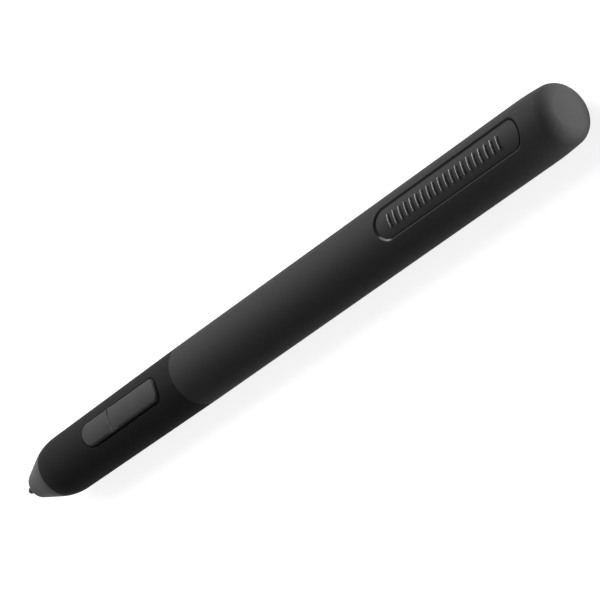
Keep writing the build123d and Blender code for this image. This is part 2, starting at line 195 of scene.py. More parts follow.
def corner_bevel(slope: float, radius: float, steps: int) -> list[Placed]:
    """Flat bevel in place of a round, with a narrow soft line at each side.

    Args:
        slope: Rise of the top for each unit into the material.
        radius: Radius of the round that it takes the place of.
        steps: Number of chords.

    Returns:
        Its points, as those of the round.
    """
    rounded = corner_round(slope, radius, steps)
    first, last = rounded[0], rounded[-1]
    flat = Vector((first[2] + last[2], first[3] + last[3])).normalized()
    points = [first]
    for step in range(1, steps):
        share = 0.5 - 0.5 * math.cos(math.pi * step / steps)
        place = [one + (other - one) * share for one, other in zip(first[:2], last[:2])]
        points.append((place[0], place[1], flat.x, flat.y))
    return [*points, last]


def end_round(surface: Sample, at: float, into: float, radius: float) -> list[Sample]:
    """Rounded edge between a turned surface and a flat end face.

    Args:
        surface: The surface at the end face.
        at: Place of the end face.
        into: 1 if the material lies on the tail's side of the end face, -1 if on the nib's side.
        radius: Radius of the round.

    Returns:
        Its samples from the surface to the end face.
    """
    lean = -into * surface.normal_at / surface.normal_radius
    return [
        Sample(at + into * reach, surface.radius + rise, into * level, up)
        for reach, rise, level, up in corner_round(lean, radius, EDGE_STEPS)
    ]


@dataclass(frozen=True)
class PenForm:
    """Outer form of the whole pen, from cone to tail."""

    length: float = 168.0
    barrel_radius: float = 6.0
    nib_protrusion: float = 2.95
    cone_front_radius: float = 2.4
    cone_shoulder_round: float = 1.45
    cone_half_angle: float = 19.9
    grip_nose_radius: float = 5.68
    ogive_radius: float = 16.9
    ring_at: float = 11.45
    seam_at: float = 57.25
    tail_ease_at: float = 158.6
    tail_corner_radius: float = 5.48
    tail_face_rise: float = 0.5
    tail_shoulder_round: float = 2.7

    @property
    def cone_corner_at(self) -> float:
        """Place where the cone's line and the grip's line would meet."""
        rise = self.grip_nose_radius - self.cone_front_radius
        return self.nib_protrusion + rise / math.tan(math.radians(self.cone_half_angle))

    def ogive(self) -> tuple[tuple[float, float], float, float]:
        """Arc that leads from the cone's line into the grip's.

        Returns:
            Its centre, and the angles in degrees where it starts and ends.
        """
        rise, run = self.barrel_radius - self.grip_nose_radius, self.seam_at - self.cone_corner_at
        first, last = 90.0 + self.cone_half_angle, 90.0 + math.degrees(math.atan2(rise, run))
        reach = self.ogive_radius / math.cos(math.radians((first - last) / 2.0))
        middle = math.radians((first + last) / 2.0)
        centre = (
            self.cone_corner_at - reach * math.cos(middle),
            self.grip_nose_radius - reach * math.sin(middle),
        )
        return centre, first, last

    def shoulder(self) -> list[Sample]:
        """Round between the cone's front face and its side.

        Returns:
            Its samples in order.
        """
        half = math.radians((90.0 - self.cone_half_angle) / 2.0)
        drop = self.cone_shoulder_round * math.tan(half)
        centre = (self.nib_protrusion + self.cone_shoulder_round, self.cone_front_radius - drop)
        return arc_samples(centre, self.cone_shoulder_round, 180.0, 90.0 + self.cone_half_angle, SHOULDER_STEPS)

    def surface(self, at: float) -> Sample:
        """Sample of the outer surface between the cone's shoulder and the tail's.

        Args:
            at: Distance along the pen.

        Returns:
            The sample there.
        """
        centre, first, last = self.ogive()
        if at < centre[0] + self.ogive_radius * math.cos(math.radians(first)):
            turn = math.radians(self.cone_half_angle)
            radius = self.cone_front_radius + (at - self.nib_protrusion) * math.tan(turn)
            return Sample(at, radius, -math.sin(turn), math.cos(turn))
        if at < centre[0] + self.ogive_radius * math.cos(math.radians(last)):
            along = (at - centre[0]) / self.ogive_radius
            out = math.sqrt(1.0 - along * along)
            return Sample(at, centre[1] + self.ogive_radius * out, along, out)
        if at < self.seam_at:
            turn = math.radians(last - 90.0)
            radius = self.barrel_radius - (self.seam_at - at) * math.tan(turn)
            return Sample(at, radius, -math.sin(turn), math.cos(turn))
        if at < self.tail_ease_at:
            return Sample(at, self.barrel_radius, 0.0, 1.0)
        along = (at - self.tail_ease_at) / self.ease_radius
        out = math.sqrt(1.0 - along * along)
        return Sample(at, self.barrel_radius - self.ease_radius * (1.0 - out), along, out)

    @staticmethod
    def _through(run: float, drop: float) -> float:
        """Radius of an arc that starts level and drops so far over a run."""
        return (run * run + drop * drop) / (2.0 * drop)

    @property
    def ease_radius(self) -> float:
        """Radius of the slow curve that draws the barrel in before its tail."""
        run = self.length - self.tail_face_rise - self.tail_ease_at
        return self._through(run, self.barrel_radius - self.tail_corner_radius)

    def tail(self) -> list[Sample]:
        """Shoulder and domed face of the tail.

        Returns:
            Their samples in order, ending on the axis.
        """
        ease, face = self.ease_radius, self._through(self.tail_corner_radius, self.tail_face_rise)
        ease_centre = Vector((self.tail_ease_at, self.barrel_radius - ease))
        face_centre = Vector((self.length - face, 0.0))
        apart = face_centre - ease_centre
        to_ease, to_face = ease - self.tail_shoulder_round, face - self.tail_shoulder_round
        along = (to_ease**2 - to_face**2 + apart.length_squared) / (2.0 * apart.length)
        unit = apart.normalized()
        centre = ease_centre + unit * along + Vector((unit.y, -unit.x)) * math.sqrt(to_ease**2 - along**2)
        first = math.degrees(math.atan2(centre.y - ease_centre.y, centre.x - ease_centre.x))
        last = math.degrees(math.atan2(centre.y - face_centre.y, centre.x - face_centre.x))
        samples = arc_samples((centre.x, centre.y), self.tail_shoulder_round, first, last, TIP_STEPS)
        return samples + arc_samples((face_centre.x, 0.0), face, last, 0.0, FACE_STEPS)[1:]


def mirrored(points: list[Placed]) -> list[Placed]:
    """The same points in plan on the other side of the axis."""
    return [(at, -across, out, -side) for at, across, out, side in points]


@dataclass(frozen=True)
class Outline:
    """Slot-like shape in plan, whose two ends have rounded corners.

    Its loop runs like the edge of a grid: across the front end, along one side, back across the rear end and along
    the other side. Every loop with the same counts has matching points. A corner is split between end and side.
    """

    SPLIT = 50.0
    SMALL_ROUND = 0.5
    CORNER_STEPS = (3, 8)

    start: float
    end: float
    half_width: float
    start_round: float
    end_round: float
    across: int
    along: int
    centre: float = 0.0

    def _corner(self, rear: bool, angle: float) -> Placed:
        """Point of a rounded corner.

        Args:
            rear: True for the rear end.
            angle: Angle from the pen's axis in degrees.

        Returns:
            The point and its outward normal.
        """
        at, corner, sense = (self.end, self.end_round, 1.0) if rear else (self.start, self.start_round, -1.0)
        out, side = math.cos(math.radians(angle)), math.sin(math.radians(angle))
        return at + sense * corner * (out - 1.0), self.half_width + corner * (side - 1.0), sense * out, side

    def _end_run(self, rear: bool) -> list[Placed]:
        """Points across one end from one side to the other.

        Args:
            rear: True for the rear end.

        Returns:
            The points, without the last one.
        """
        corner = self.end_round if rear else self.start_round
        flat, bends = 2.0 * (self.half_width - corner), 2.0 * math.radians(self.SPLIT) * corner
        level = 0
        if flat > TINY:
            level = min(max(2, 2 * round(self.across * flat / (flat + bends) / 2.0)), self.across - 4)
        steps = (self.across - level) // 2
        half = [self._corner(rear, self.SPLIT * step / steps) for step in range(steps + 1)]
        at, edge, out, _ = half[0]
        middle = [(at, edge * (2.0 * step / level - 1.0), out, 0.0) for step in range(level)]
        return mirrored(half[:0:-1]) + middle + half[:-1]

    def _side_run(self) -> list[Placed]:
        """Points along one side.

        Returns:
            The points from the front end to the rear end, both split corners among them.
        """
        rounds = (self.start_round, self.end_round)
        front, rear = (self.CORNER_STEPS[corner >= self.SMALL_ROUND] for corner in rounds)
        rest = 90.0 - self.SPLIT
        first, last = self.start + self.start_round, self.end - self.end_round
        steps = self.along - front - rear
        return [
            *(self._corner(False, self.SPLIT + rest * step / front) for step in range(front)),
            *((first + (last - first) * step / steps, self.half_width, 0.0, 1.0) for step in range(steps)),
            *(self._corner(True, 90.0 - rest * step / rear) for step in range(rear + 1)),
        ]

    def loop(self) -> list[Placed]:
        """Whole loop of points in plan.

        Returns:
            The points, each with its outward normal.
        """
        side = self._side_run()
        whole = self._end_run(False) + side[:-1] + mirrored(self._end_run(True) + side[:0:-1])
        return [(at, across + self.centre, out, beside) for at, across, out, beside in whole]

    def window_places(self, start: float, end: float) -> list[float]:
        """Places of turned loops across a window, spread as the points of this outline's side are.

        Args:
            start: Front of the window.
            end: Rear of the window.

        Returns:
            The places in order, both ends among them.
        """
        places = [point[0] for point in self._side_run()]
        scale = (end - start) / (places[-1] - places[0])
        return [start + (place - places[0]) * scale for place in places]


@dataclass
class Ring:
    """Loop of vertices, with the normals of one surface that meets them."""

    indices: list[int]
    normals: list[Vector]

    def again(self, normals: list[Vector]) -> "Ring":
        """The same vertices as met by another surface, across a sharp edge."""
        return Ring(self.indices, [normal.normalized() for normal in normals])


class Draft:
    """Mesh in the making, with an exact normal at each corner and a value for rubbed edges and painted edge
    highlights (glints).
    """

    def __init__(self) -> None:
        """Starts with no points and no faces."""
        self.points: list[Vector] = []
        self.worn_and_glint: list[float] = []
        self.faces: list[list[int]] = []
        self.normals: list[list[Vector]] = []

    def ring(self, points: list[Vector], normals: list[Vector], worn_and_glint: float | list[float] = 0.0) -> Ring:
        """Adds a loop of points.

        Args:
            points: Places in metres.
            normals: Surface normals there.
            worn_and_glint: Value of the lightening mask there, from 0 to 1, for edges rubbed by handling and for
                painted highlights (glints), for the loop or point by point.

        Returns:
            The loop.
        """
        first = len(self.points)
        self.points.extend(points)
        self.worn_and_glint.extend(worn_and_glint if isinstance(worn_and_glint, list) else [worn_and_glint] * len(points))
        return Ring(list(range(first, len(self.points))), normals).again(normals)

    def laid(self, lift: "Lift", places: list[tuple[float, float]], worn_and_glint: float | list[float] = 0.0) -> Ring:
        """Adds a loop of places in plan, laid on a surface.

        Args:
            lift: The surface.
            places: Distances along the pen and across it.
            worn_and_glint: Value of the lightening mask there, as for a loop of points.

        Returns:
            The loop.
        """
        placed = [lift.point(at, across) for at, across in places]
        return self.ring([point for point, _ in placed], [normal for _, normal in placed], worn_and_glint)

    def face(self, corners: list[int], normals: list[Vector]) -> None:
        """Adds one face, turned so that it looks the way of its normals.

        Args:
            corners: Vertices in order, of which neighbours may be the same.
            normals: Surface normal at each.
        """
        kept, looks = [], []
        for corner, normal in zip(corners, normals):
            if corner not in kept:
                kept.append(corner)
                looks.append(normal)
        if len(kept) < 3:
            return
        places = [self.points[corner] for corner in kept]
        flat = (places[1] - places[0]).cross(places[2] - places[0])
        if len(kept) == 4:
            flat = (places[2] - places[0]).cross(places[3] - places[1])
        if flat.dot(sum(looks, Vector())) < 0.0:
            kept.reverse()
            looks.reverse()
        self.faces.append(kept)
        self.normals.append(looks)

    def bridge(self, one: Ring, other: Ring, skip: set[int] = frozenset()) -> None:
        """Joins two loops of the same length with a band of faces.

        Args:
            one: First loop.
            other: Second loop.
            skip: Places in the loops that stay open.
        """
        count = len(one.indices)
        for place in (spot for spot in range(count) if spot not in skip):
            after = (place + 1) % count
            corners = ((one, place), (one, after), (other, after), (other, place))
            self.face([ring.indices[spot] for ring, spot in corners], [ring.normals[spot] for ring, spot in corners])

    def wall(self, one: Ring, other: Ring, normals: list[Vector]) -> None:
        """Joins two loops by a surface with sharp edges to what they meet.

        Args:
            one: First loop.
            other: Second loop.
            normals: Normals of the surface at both.
        """
        self.bridge(one.again(normals), other.again(normals))

    def turned(self, samples: list[Sample], worn_and_glint: float = 0.0, first: Ring | None = None) -> list[Ring]:
        """Turns samples of a profile round the axis into loops, without joining them.

        Args:
            samples: Profile in order.
            worn_and_glint: How far the loops lie on a rounded edge.
            first: Loop that the first sample meets, whose vertices it takes.

        Returns:
            One loop for each sample. A sample on the axis has one vertex.
        """
        rings = []
        for sample in samples:
            at, radius, lean, out = sample.at, sample.radius, sample.normal_at, sample.normal_radius
            normals = [Vector((lean, out * side, out * up)) for side, up in TURNS]
            if first is not None and not rings:
                rings.append(first.again(normals))
            elif radius < TINY:
                pole = self.ring([pen_point(at, 0.0, 0.0)], [Vector((lean, 0.0, 0.0))], worn_and_glint)
                rings.append(Ring(pole.indices * COLUMNS, pole.normals * COLUMNS))
            else:
                points = [pen_point(at, radius * side, radius * up) for side, up in TURNS]
                rings.append(self.ring(points, normals, worn_and_glint))
        return rings

    def skin(self, rings: list[Ring], window: "Window | None" = None) -> None:
        """Joins loops one after another.

        Args:
            rings: Loops in order.
            window: Opening that is left in them.
        """
        for place, (one, other) in enumerate(zip(rings, rings[1:])):
            inside = window is not None and window.first <= place < window.last
            self.bridge(one, other, window.columns() if inside else frozenset())

    def lathe(self, spans: list[tuple[list[Sample], float]]) -> None:
        """Turns a closed profile, span by span, with a sharp edge between spans that don't run on smoothly.

        Args:
            spans: Samples of each span, and how far it lies on a rounded edge.
        """
        opening = last = None
        for number, (samples, worn_and_glint) in enumerate(spans):
            rings = self.turned(samples, worn_and_glint, last)
            start, end = spans[0][0][0], samples[-1]
            meets = math.hypot(start.at - end.at, start.radius - end.radius) < TINY
            if number == len(spans) - 1 and meets:
                rings[-1] = opening.again(rings[-1].normals)
            self.skin(rings)
            opening = opening or rings[0]
            last = rings[-1]

    def grid(self, loop: Ring, outline: Outline, lift: "Lift") -> None:
        """Fills a loop that runs like the edge of a grid.

        Args:
            loop: The loop.
            outline: Outline that it follows, whose counts it has.
            lift: Surface that the fill lies on.
        """
        across, along, edge = outline.across, outline.along, loop.indices
        front, side = edge[: across + 1], edge[across : across + along + 1]
        rear, far = edge[across + along : 2 * across + along + 1][::-1], [*edge[2 * across + along :], edge[0]][::-1]
        looks = dict(zip(edge, loop.normals))
        plan = {index: Vector(plan_place(self.points[index])) for index in edge}
        cells = [front]
        for row in range(1, along):
            v = row / along
            line = [far[row]]
            for column in range(1, across):
                u = column / across
                sides = plan[far[row]] * (1 - u) + plan[side[row]] * u
                ends = plan[front[column]] * (1 - v) + plan[rear[column]] * v
                corners = (plan[front[0]] * (1 - u) + plan[front[-1]] * u) * (1 - v)
                corners += (plan[rear[0]] * (1 - u) + plan[rear[-1]] * u) * v
                place = sides + ends - corners
                point, normal = lift.point(place.x, place.y)
                index = self.ring([point], [normal]).indices[0]
                looks[index] = normal
                line.append(index)
            cells.append([*line, side[row]])
        cells.append(rear)
        for row, after in zip(cells, cells[1:]):
            for column in range(across):
                corners = [row[column], row[column + 1], after[column + 1], after[column]]
                self.face(corners, [looks[corner] for corner in corners])

    def make(self, name: str) -> Object:
        """Makes the object, at the origin, with its place in its mesh.

        Args:
            name: Name of the piece.

        Returns:
            The object.
        """
        mesh = bpy.data.meshes.new(name)
        mesh.from_pydata([tuple(point) for point in self.points], [], self.faces)
        # Mask of edges rubbed by handling and of painted highlights (glints), which the materials read
        worn_and_glint = mesh.attributes.new("worn_and_glint_edge", "FLOAT", "POINT")
        worn_and_glint.data.foreach_set("value", self.worn_and_glint)
        mesh.polygons.foreach_set("use_smooth", [True] * len(mesh.polygons))
        mesh.update()
        mesh.normals_split_custom_set([tuple(normal) for look in self.normals for normal in look])
        return add_object(name, mesh)


@dataclass(frozen=True)
class Patch:
    """Round patch of an outline's edge with a value of its own, soft at its rim; the patches here paint highlights
    (glints).
    """

    at: float
    across: float
    reach: float
    wear_and_glint: float


@dataclass(frozen=True)
class EdgeWearAndGlint:
    """How much an outline's edge is lightened, for rubbing by handling and for painted highlights (glints): one value
    everywhere but in its patches.
    """

    everywhere: float = 0.0
    patches: tuple[Patch, ...] = ()

    def share(self, at: float, across: float) -> float:
        """Value at one place of the outline.

        Args:
            at: Distance along the pen.
            across: Distance to the side of the axis.

        Returns:
            The value, from 0 to 1.
        """
        share = self.everywhere
        for patch in self.patches:
            away = math.hypot(at - patch.at, across - patch.across) / patch.reach
            fade = max(0.0, min(1.0, 2.0 * (1.0 - away)))
            share += (patch.wear_and_glint - share) * fade * fade * (3.0 - 2.0 * fade)
        return share

    def along(self, outline: Outline) -> list[float]:
        """Value of rubbed edge and painted highlight at each point of an outline's loop."""
        return [self.share(at, across) for at, across, _, _ in outline.loop()]


@dataclass(frozen=True)
class Lift:
    """Surface over the plan: flat, or round the axis with the pen's form or a radius of its own.

    The radius is the surface's own, or its depth under the form where there is one.
    """

    SLOPE_STEP = 0.02
    WEAR_AND_GLINT_FADE = 0.6

    form: PenForm | None = None
    radius: float = 0.0
    level: float | None = None
    facing: float = 1.0

    def point(self, at: float, across: float) -> tuple[Vector, Vector]:
        """Point of the surface over a place in plan.

        Args:
            at: Distance along the pen.
            across: Distance to the side of the axis.

        Returns:
            The point in metres and the surface's normal.
        """
        if self.level is not None:
            return pen_point(at, across, self.level), Vector((0.0, 0.0, self.facing))
        radius, lean = self.radius, 0.0
        if self.form is not None:
            sample = self.form.surface(at)
            radius = sample.radius - self.radius / sample.normal_radius
            lean = sample.normal_at / sample.normal_radius
        up = math.sqrt(radius * radius - across * across)
        normal = Vector((lean * radius, across, up)).normalized() * self.facing
        return pen_point(at, across, up), normal

    def height(self, at: float, across: float) -> float:
        """Height of the surface above the axis over a place in plan."""
        return self.point(at, across)[0].z * 1000.0 - AXIS_HEIGHT

    def loop(self, draft: Draft, outline: Outline, wear_and_glint: EdgeWearAndGlint = EdgeWearAndGlint()) -> Ring:
        """Loop of an outline laid on this surface.

        Args:
            draft: Mesh that it is added to.
            outline: The outline.
            wear_and_glint: Where it is rubbed lighter, and where a highlight (glint) is painted.

        Returns:
            The loop.
        """
        return draft.laid(self, [point[:2] for point in outline.loop()], wear_and_glint.along(outline))

    def rim(
        self,
        draft: Draft,
        outline: Outline,
        radius: float | Callable[[float], float],
        opening: bool,
        wear_and_glint: EdgeWearAndGlint,
        shape: EdgeShape = corner_round,
        steps: int = 5,
    ) -> list[Ring]:
        """Eased edge along an outline, from this surface down to an upright wall.

        Args:
            draft: Mesh that it is added to.
            outline: The outline, which the wall follows.
            radius: Radius of the round, or of the round that a bevel takes the place of, or the function that gives
                it for a place along the pen.
            opening: True for the edge of an opening, False for the edge of a raised piece.
            wear_and_glint: Where the edge is rubbed lighter, and where a highlight (glint) is painted on it.
            shape: Form of the edge, a round or a bevel.
            steps: Number of chords.

        Returns:
            Its loops, from the surface to the wall.
        """
        rows: list[tuple[list[Vector], list[Vector]]] = [([], []) for _ in range(steps + 1)]
        for at, across, out, side in outline.loop():
            into = (out, side) if opening else (-out, -side)
            height = self.height(at, across)
            near = self.height(at + into[0] * self.SLOPE_STEP, across + into[1] * self.SLOPE_STEP)
            size = radius(at) if callable(radius) else radius
            corner = shape((near - height) / self.SLOPE_STEP, size, steps)
            for (points, normals), (reach, rise, level, up) in zip(rows, corner):
                points.append(pen_point(at + into[0] * reach, across + into[1] * reach, height + rise))
                normals.append(Vector((into[0] * level, into[1] * level, up)))
        # Value of rubbed edge and painted highlight, strongest in the middle of the eased edge
        shares, middle = wear_and_glint.along(outline), steps / 2.0
        fades = [1.0 - self.WEAR_AND_GLINT_FADE * abs(row - middle) / middle for row in range(steps + 1)]
        return [draft.ring(*row, [share * fade for share in shares]) for row, fade in zip(rows, fades)]


def wall_normals(outline: Outline, opening: bool) -> list[Vector]:
    """Normals of the upright wall along an outline, away from the material."""
    sense = -1.0 if opening else 1.0
    return [Vector((sense * out, sense * side, 0.0)) for _, _, out, side in outline.loop()]


def level_loop(draft: Draft, outline: Outline, level: float) -> Ring:
    """Loop of an outline at one height, with the normals of its outer wall."""
    points = [pen_point(at, across, level) for at, across, _, _ in outline.loop()]
    return draft.ring(points, wall_normals(outline, False))


def raised_cap(
    draft: Draft,
    outline: Outline,
    face: Lift,
    edge: float | Callable[[float], float],
    wear_and_glint: EdgeWearAndGlint,
    shape: EdgeShape = corner_round,
) -> Ring:
    """Face of a raised piece with its eased edge.

    Args:
        draft: Mesh that it is added to.
        outline: Outline of the piece.
        face: Surface of the face.
        edge: Radius of the edge.
        wear_and_glint: Where the edge is rubbed lighter, and where a highlight (glint) is painted on it.
        shape: Form of the edge, a round or a bevel.

    Returns:
        The loop where the edge meets the piece's wall.
    """
    rim = face.rim(draft, outline, edge, False, wear_and_glint, shape)
    places = []
    for index, (_, _, out, side) in zip(rim[0].indices, outline.loop()):
        at, across = plan_place(draft.points[index])
        places.append((at - out * FACE_INSET, across - side * FACE_INSET))
    inner = draft.laid(face, places)
    draft.bridge(rim[0], inner)
    draft.grid(inner, outline, face)
    draft.skin(rim)
    return rim[-1]


@dataclass(frozen=True)
class Window:
    """Opening in turned loops, where a shape in plan is let in.

    A skin has more loops near the window's inner edge, at these shares of the way to its outer edge.
    """

    OUTER_SHARES = (0.03, 0.1, 0.25, 0.45, 0.7)
    INNER_SHARES = (0.2, 0.6)

    first: int
    last: int
    half_columns: int

    def columns(self) -> set[int]:
        """Columns that stay open."""
        return {column % COLUMNS for column in range(-self.half_columns, self.half_columns)}

    def frame(self, draft: Draft, rings: list[Ring], inner: Ring, lift: Lift, shares: tuple[float, ...]) -> None:
        """Surface between the opening's edge and the loop of what is let in.

        Args:
            draft: Mesh that it is added to.
            rings: Turned loops that the window is left in.
            inner: Loop that is let in.
            lift: Surface that both lie on.
            shares: How far each loop between them is from the inner one, from 0 to 1.
        """
        reach = self.half_columns
        path = [(self.first, column) for column in range(-reach, reach)]
        path += [(row, reach) for row in range(self.first, self.last)]
        path += [(self.last, column) for column in range(reach, -reach, -1)]
        path += [(row, -reach) for row in range(self.last, self.first, -1)]
        edge = Ring(
            [rings[row].indices[column % COLUMNS] for row, column in path],
            [rings[row].normals[column % COLUMNS] for row, column in path],
        )
        last = inner
        for share in shares:
            places = [
                plan_place(draft.points[one] * (1.0 - share) + draft.points[other] * share)
                for one, other in zip(inner.indices, edge.indices)
            ]
            ring = draft.laid(lift, places)
            draft.bridge(last, ring)
            last = ring
        draft.bridge(last, edge)


def spread(start: float, end: float, step: float) -> list[float]:
    """Even places from start up to but not at end, about a step apart."""
    count = max(1, round((end - start) / step))
    return [start + (end - start) * place / count for place in range(count)]


class Slot(Enum):
    """Material slots of the record."""

    CONE = "cone"
    GRIP = "grip"
    BARREL = "barrel"
    KEYS = "keys"
    INLAY = "inlay"
    SHELL = "shell"
    NIB = "nib"
    WHITE_PLASTIC = "white_plastic"
    FERRITE = "ferrite"
    COPPER = "copper"
    SPRING_STEEL = "spring_steel"
    CONDUCTIVE_RUBBER = "conductive_rubber"
    CERAMIC = "ceramic"
    BOARD = "board"
    CHIP = "chip"
    SCREW_STEEL = "screw_steel"
    BUFFER_RUBBER = "buffer_rubber"


class Pattern(Enum):
    """Patterns that a finish may carry over its plain colour."""

    PLAIN = "plain"
    TRACES = "traces"
    BRUSHED = "brushed"
    SPECKLED = "speckled"


@dataclass(frozen=True)
class Finish:
    """One surface finish. Scales are in patterns for each millimetre and depths in millimetres."""

    slot: Slot
    colour: tuple[float, float, float]
    roughness: float
    grain_scale: float = 6.0
    grain_depth: float = 0.002
    mottle: float = 0.06
    # Gain of the colour under the edge mask: edges rubbed by handling, and painted highlights (glints) where the mask
    # has patches
    edge_light: float = 0.0
    edge_polish: float = 0.0
    specular: float = 0.5
    metallic: float = 0.0
    pattern: Pattern = Pattern.PLAIN
    second: tuple[float, float, float] = (0.0, 0.0, 0.0)
    name: str = ""

    def lighter(self, gain: float, lift: float = 0.0) -> tuple[float, ...]:
        """The colour with a gain and a lift, up to white."""
        return tuple(min(1.0, part * gain + lift) for part in self.colour)


FINISHES: tuple[Finish, ...] = (
    Finish(Slot.CONE, (0.049, 0.049, 0.0506), 0.5, 4.5, 0.016, 0.14, 0.25, 0.06, specular=0.035),
    Finish(Slot.GRIP, (0.0128, 0.0128, 0.013), 0.72, 5.0, 0.022, 0.16, 0.5, 0.08, specular=0.022),
    # The barrel's and keys' large edge gains make painted highlights (glints) at the recess bevel and the key parting
    Finish(Slot.BARREL, (0.0262, 0.0262, 0.0267), 0.6, 4.5, 0.016, 0.14, 9.0, 0.08, specular=0.03),
    Finish(Slot.KEYS, (0.044, 0.044, 0.045), 0.6, 4.5, 0.016, 0.14, 5.0, 0.08, specular=0.045),
    Finish(Slot.INLAY, (0.0248, 0.0248, 0.0253), 0.54, 4.5, 0.014, 0.14, 0.8, 0.1, specular=0.035),
    Finish(Slot.SHELL, (0.01, 0.01, 0.0105), 0.55),
    Finish(Slot.NIB, (0.012, 0.012, 0.0125), 0.4, 5.0, 0.001, specular=0.12),
    Finish(Slot.WHITE_PLASTIC, (0.66, 0.66, 0.63), 0.42),
    Finish(Slot.FERRITE, (0.055, 0.055, 0.06), 0.6, 5.0, 0.006, 0.3),
    Finish(Slot.COPPER, (0.72, 0.33, 0.16), 0.28, metallic=1.0, pattern=Pattern.BRUSHED),
    Finish(Slot.SPRING_STEEL, (0.6, 0.6, 0.62), 0.25, metallic=1.0, pattern=Pattern.BRUSHED),
    Finish(Slot.CONDUCTIVE_RUBBER, (0.02, 0.02, 0.02), 0.7),
    Finish(Slot.CERAMIC, (0.74, 0.69, 0.6), 0.3, pattern=Pattern.SPECKLED, second=(0.5, 0.44, 0.36)),
    Finish(Slot.BOARD, (0.02, 0.15, 0.065), 0.3, pattern=Pattern.TRACES, second=(0.05, 0.27, 0.12)),
    Finish(Slot.CHIP, (0.018, 0.018, 0.02), 0.55, 8.0, 0.003),
    Finish(Slot.SCREW_STEEL, (0.52, 0.52, 0.55), 0.3, metallic=1.0, pattern=Pattern.BRUSHED),
    Finish(Slot.BUFFER_RUBBER, (0.045, 0.045, 0.045), 0.72),
)

# The ribs take a far lighter, glossier copy of the inlay's finish: a painted highlight on ribs of the same plate
RIB_HIGHLIGHT_FINISH = Finish(Slot.INLAY, (0.18, 0.18, 0.185), 0.26, 6.0, 0.001, 0.05, specular=0.3, name="rib_highlight_finish")

MOTTLE_SCALE = 220.0
PATCH_SCALE = 450.0
TRACE_SCALE = 450.0
SPECKLE_SCALE = 5000.0
BRUSH_SCALE = 4000.0
PIT_SMOOTHNESS = 0.6
FINE_DETAIL = 2.0
SLOW_DETAIL = 3.0
TRACE_GAP = 0.03
SPECKLE_REACH = 0.5
BRUSH_STRETCH = (0.15, 1.0, 1.0)
BRUSH_SHADE = 0.75
PATCH_LIMITS = {"From Min": 0.3, "From Max": 0.65, "To Min": 0.55}
MOTTLE_LIGHT = 2.0
MOTTLE_ROUGHNESS = 0.4
EDGE_LIFT = 0.004
BLACK = (0.0, 0.0, 0.0, 1.0)
WHITE = (1.0, 1.0, 1.0, 1.0)


class Wiring:
    """Node tree in the making, whose nodes are added with their inputs set or linked."""

    def __init__(self, tree: NodeTree) -> None:
        """Works on one tree."""
        self.tree = tree

    def feed(self, node: Node, inputs: dict[str | int, object]) -> None:
        """Sets or links inputs of a node.

        Args:
            node: The node.
            inputs: Value of each input, or the socket that it is linked from.
        """
        for name, value in inputs.items():
            if isinstance(value, NodeSocket):
                self.tree.links.new(value, node.inputs[name])
            else:
                node.inputs[name].default_value = value

    def add(self, kind: str, inputs: dict[str | int, object]) -> Node:
        """Adds a node.

        Args:
            kind: Type of the node.
            inputs: Value of each input, or the socket that it is linked from.

        Returns:
            The node.
        """
        node = self.tree.nodes.new(kind)
        self.feed(node, inputs)
        return node

    def given(self) -> bpy_prop_collection:
        """Sockets of what a group is given."""
        return self.add("NodeGroupInput", {}).outputs

    def place(self) -> NodeSocket:
        """Socket of the object's own coordinates."""
        return self.add("ShaderNodeTexCoord", {}).outputs["Object"]

    def math(self, kind: str, *values: object) -> NodeSocket:
        """Result of a sum.

        Args:
            kind: Name of the sum.
            values: Its values, each a socket or a number.

        Returns:
            The socket with the result.
        """
        node = self.add("ShaderNodeMath", dict(enumerate(values)))
        node.operation = kind
        return node.outputs[0]

    def ramp(self, value: NodeSocket, limits: dict[str, float]) -> NodeSocket:
        """A value mapped from one range to another.

        Args:
            value: The value.
            limits: The limits that aren't 0 and 1.

        Returns:
            The socket with the result.
        """
        return self.add("ShaderNodeMapRange", {"Value": value, **limits}).outputs["Result"]

    def mix(self, factor: NodeSocket, one: object, other: tuple[float, ...]) -> NodeSocket:
        """Colour between two.

        Args:
            factor: Share of the second.
            one: First colour, or the socket that gives it.
            other: Second colour.

        Returns:
            The socket with the colour.
        """
        node = self.add("ShaderNodeMix", {})
        node.data_type = "RGBA"
        first = one if isinstance(one, NodeSocket) else (*one, 1.0)
        self.feed(node, {"Factor": factor, 6: first, 7: (*other, 1.0)})
        return node.outputs["Result"]

    def share(self, group: NodeTree, inputs: dict[str, float]) -> bpy_prop_collection:
        """Adds a shared group.

        Args:
            group: The group.
            inputs: Value of each of its inputs.

        Returns:
            Its outputs.
        """
        node = self.add("ShaderNodeGroup", {})
        node.node_tree = group
        self.feed(node, inputs)
        return node.outputs


def new_group(name: str, kind: str, inputs: dict[str, str], outputs: dict[str, str]) -> Wiring:
    """Empty node group with named inputs and outputs.

    Args:
        name: Name of the group.
        kind: Type of its tree.
        inputs: Type of each named input.
        outputs: Type of each named output.

    Returns:
        The group, ready for its nodes.
    """
    group = bpy.data.node_groups.new(name, kind)
    for way, sockets in (("INPUT", inputs), ("OUTPUT", outputs)):
        for label, socket in sockets.items():
            group.interface.new_socket(name=label, in_out=way, socket_type="NodeSocket" + socket)
    return Wiring(group)


def new_material(name: str) -> tuple[Material, Wiring, Node]:
    """New material.

    Args:
        name: Its name.

    Returns:
        The material, its node tree and its shader.
    """
    material = bpy.data.materials.new(name)
    material.use_nodes = True
    shader = next(node for node in material.node_tree.nodes if node.type == "BSDF_PRINCIPLED")
    return material, Wiring(material.node_tree), shader


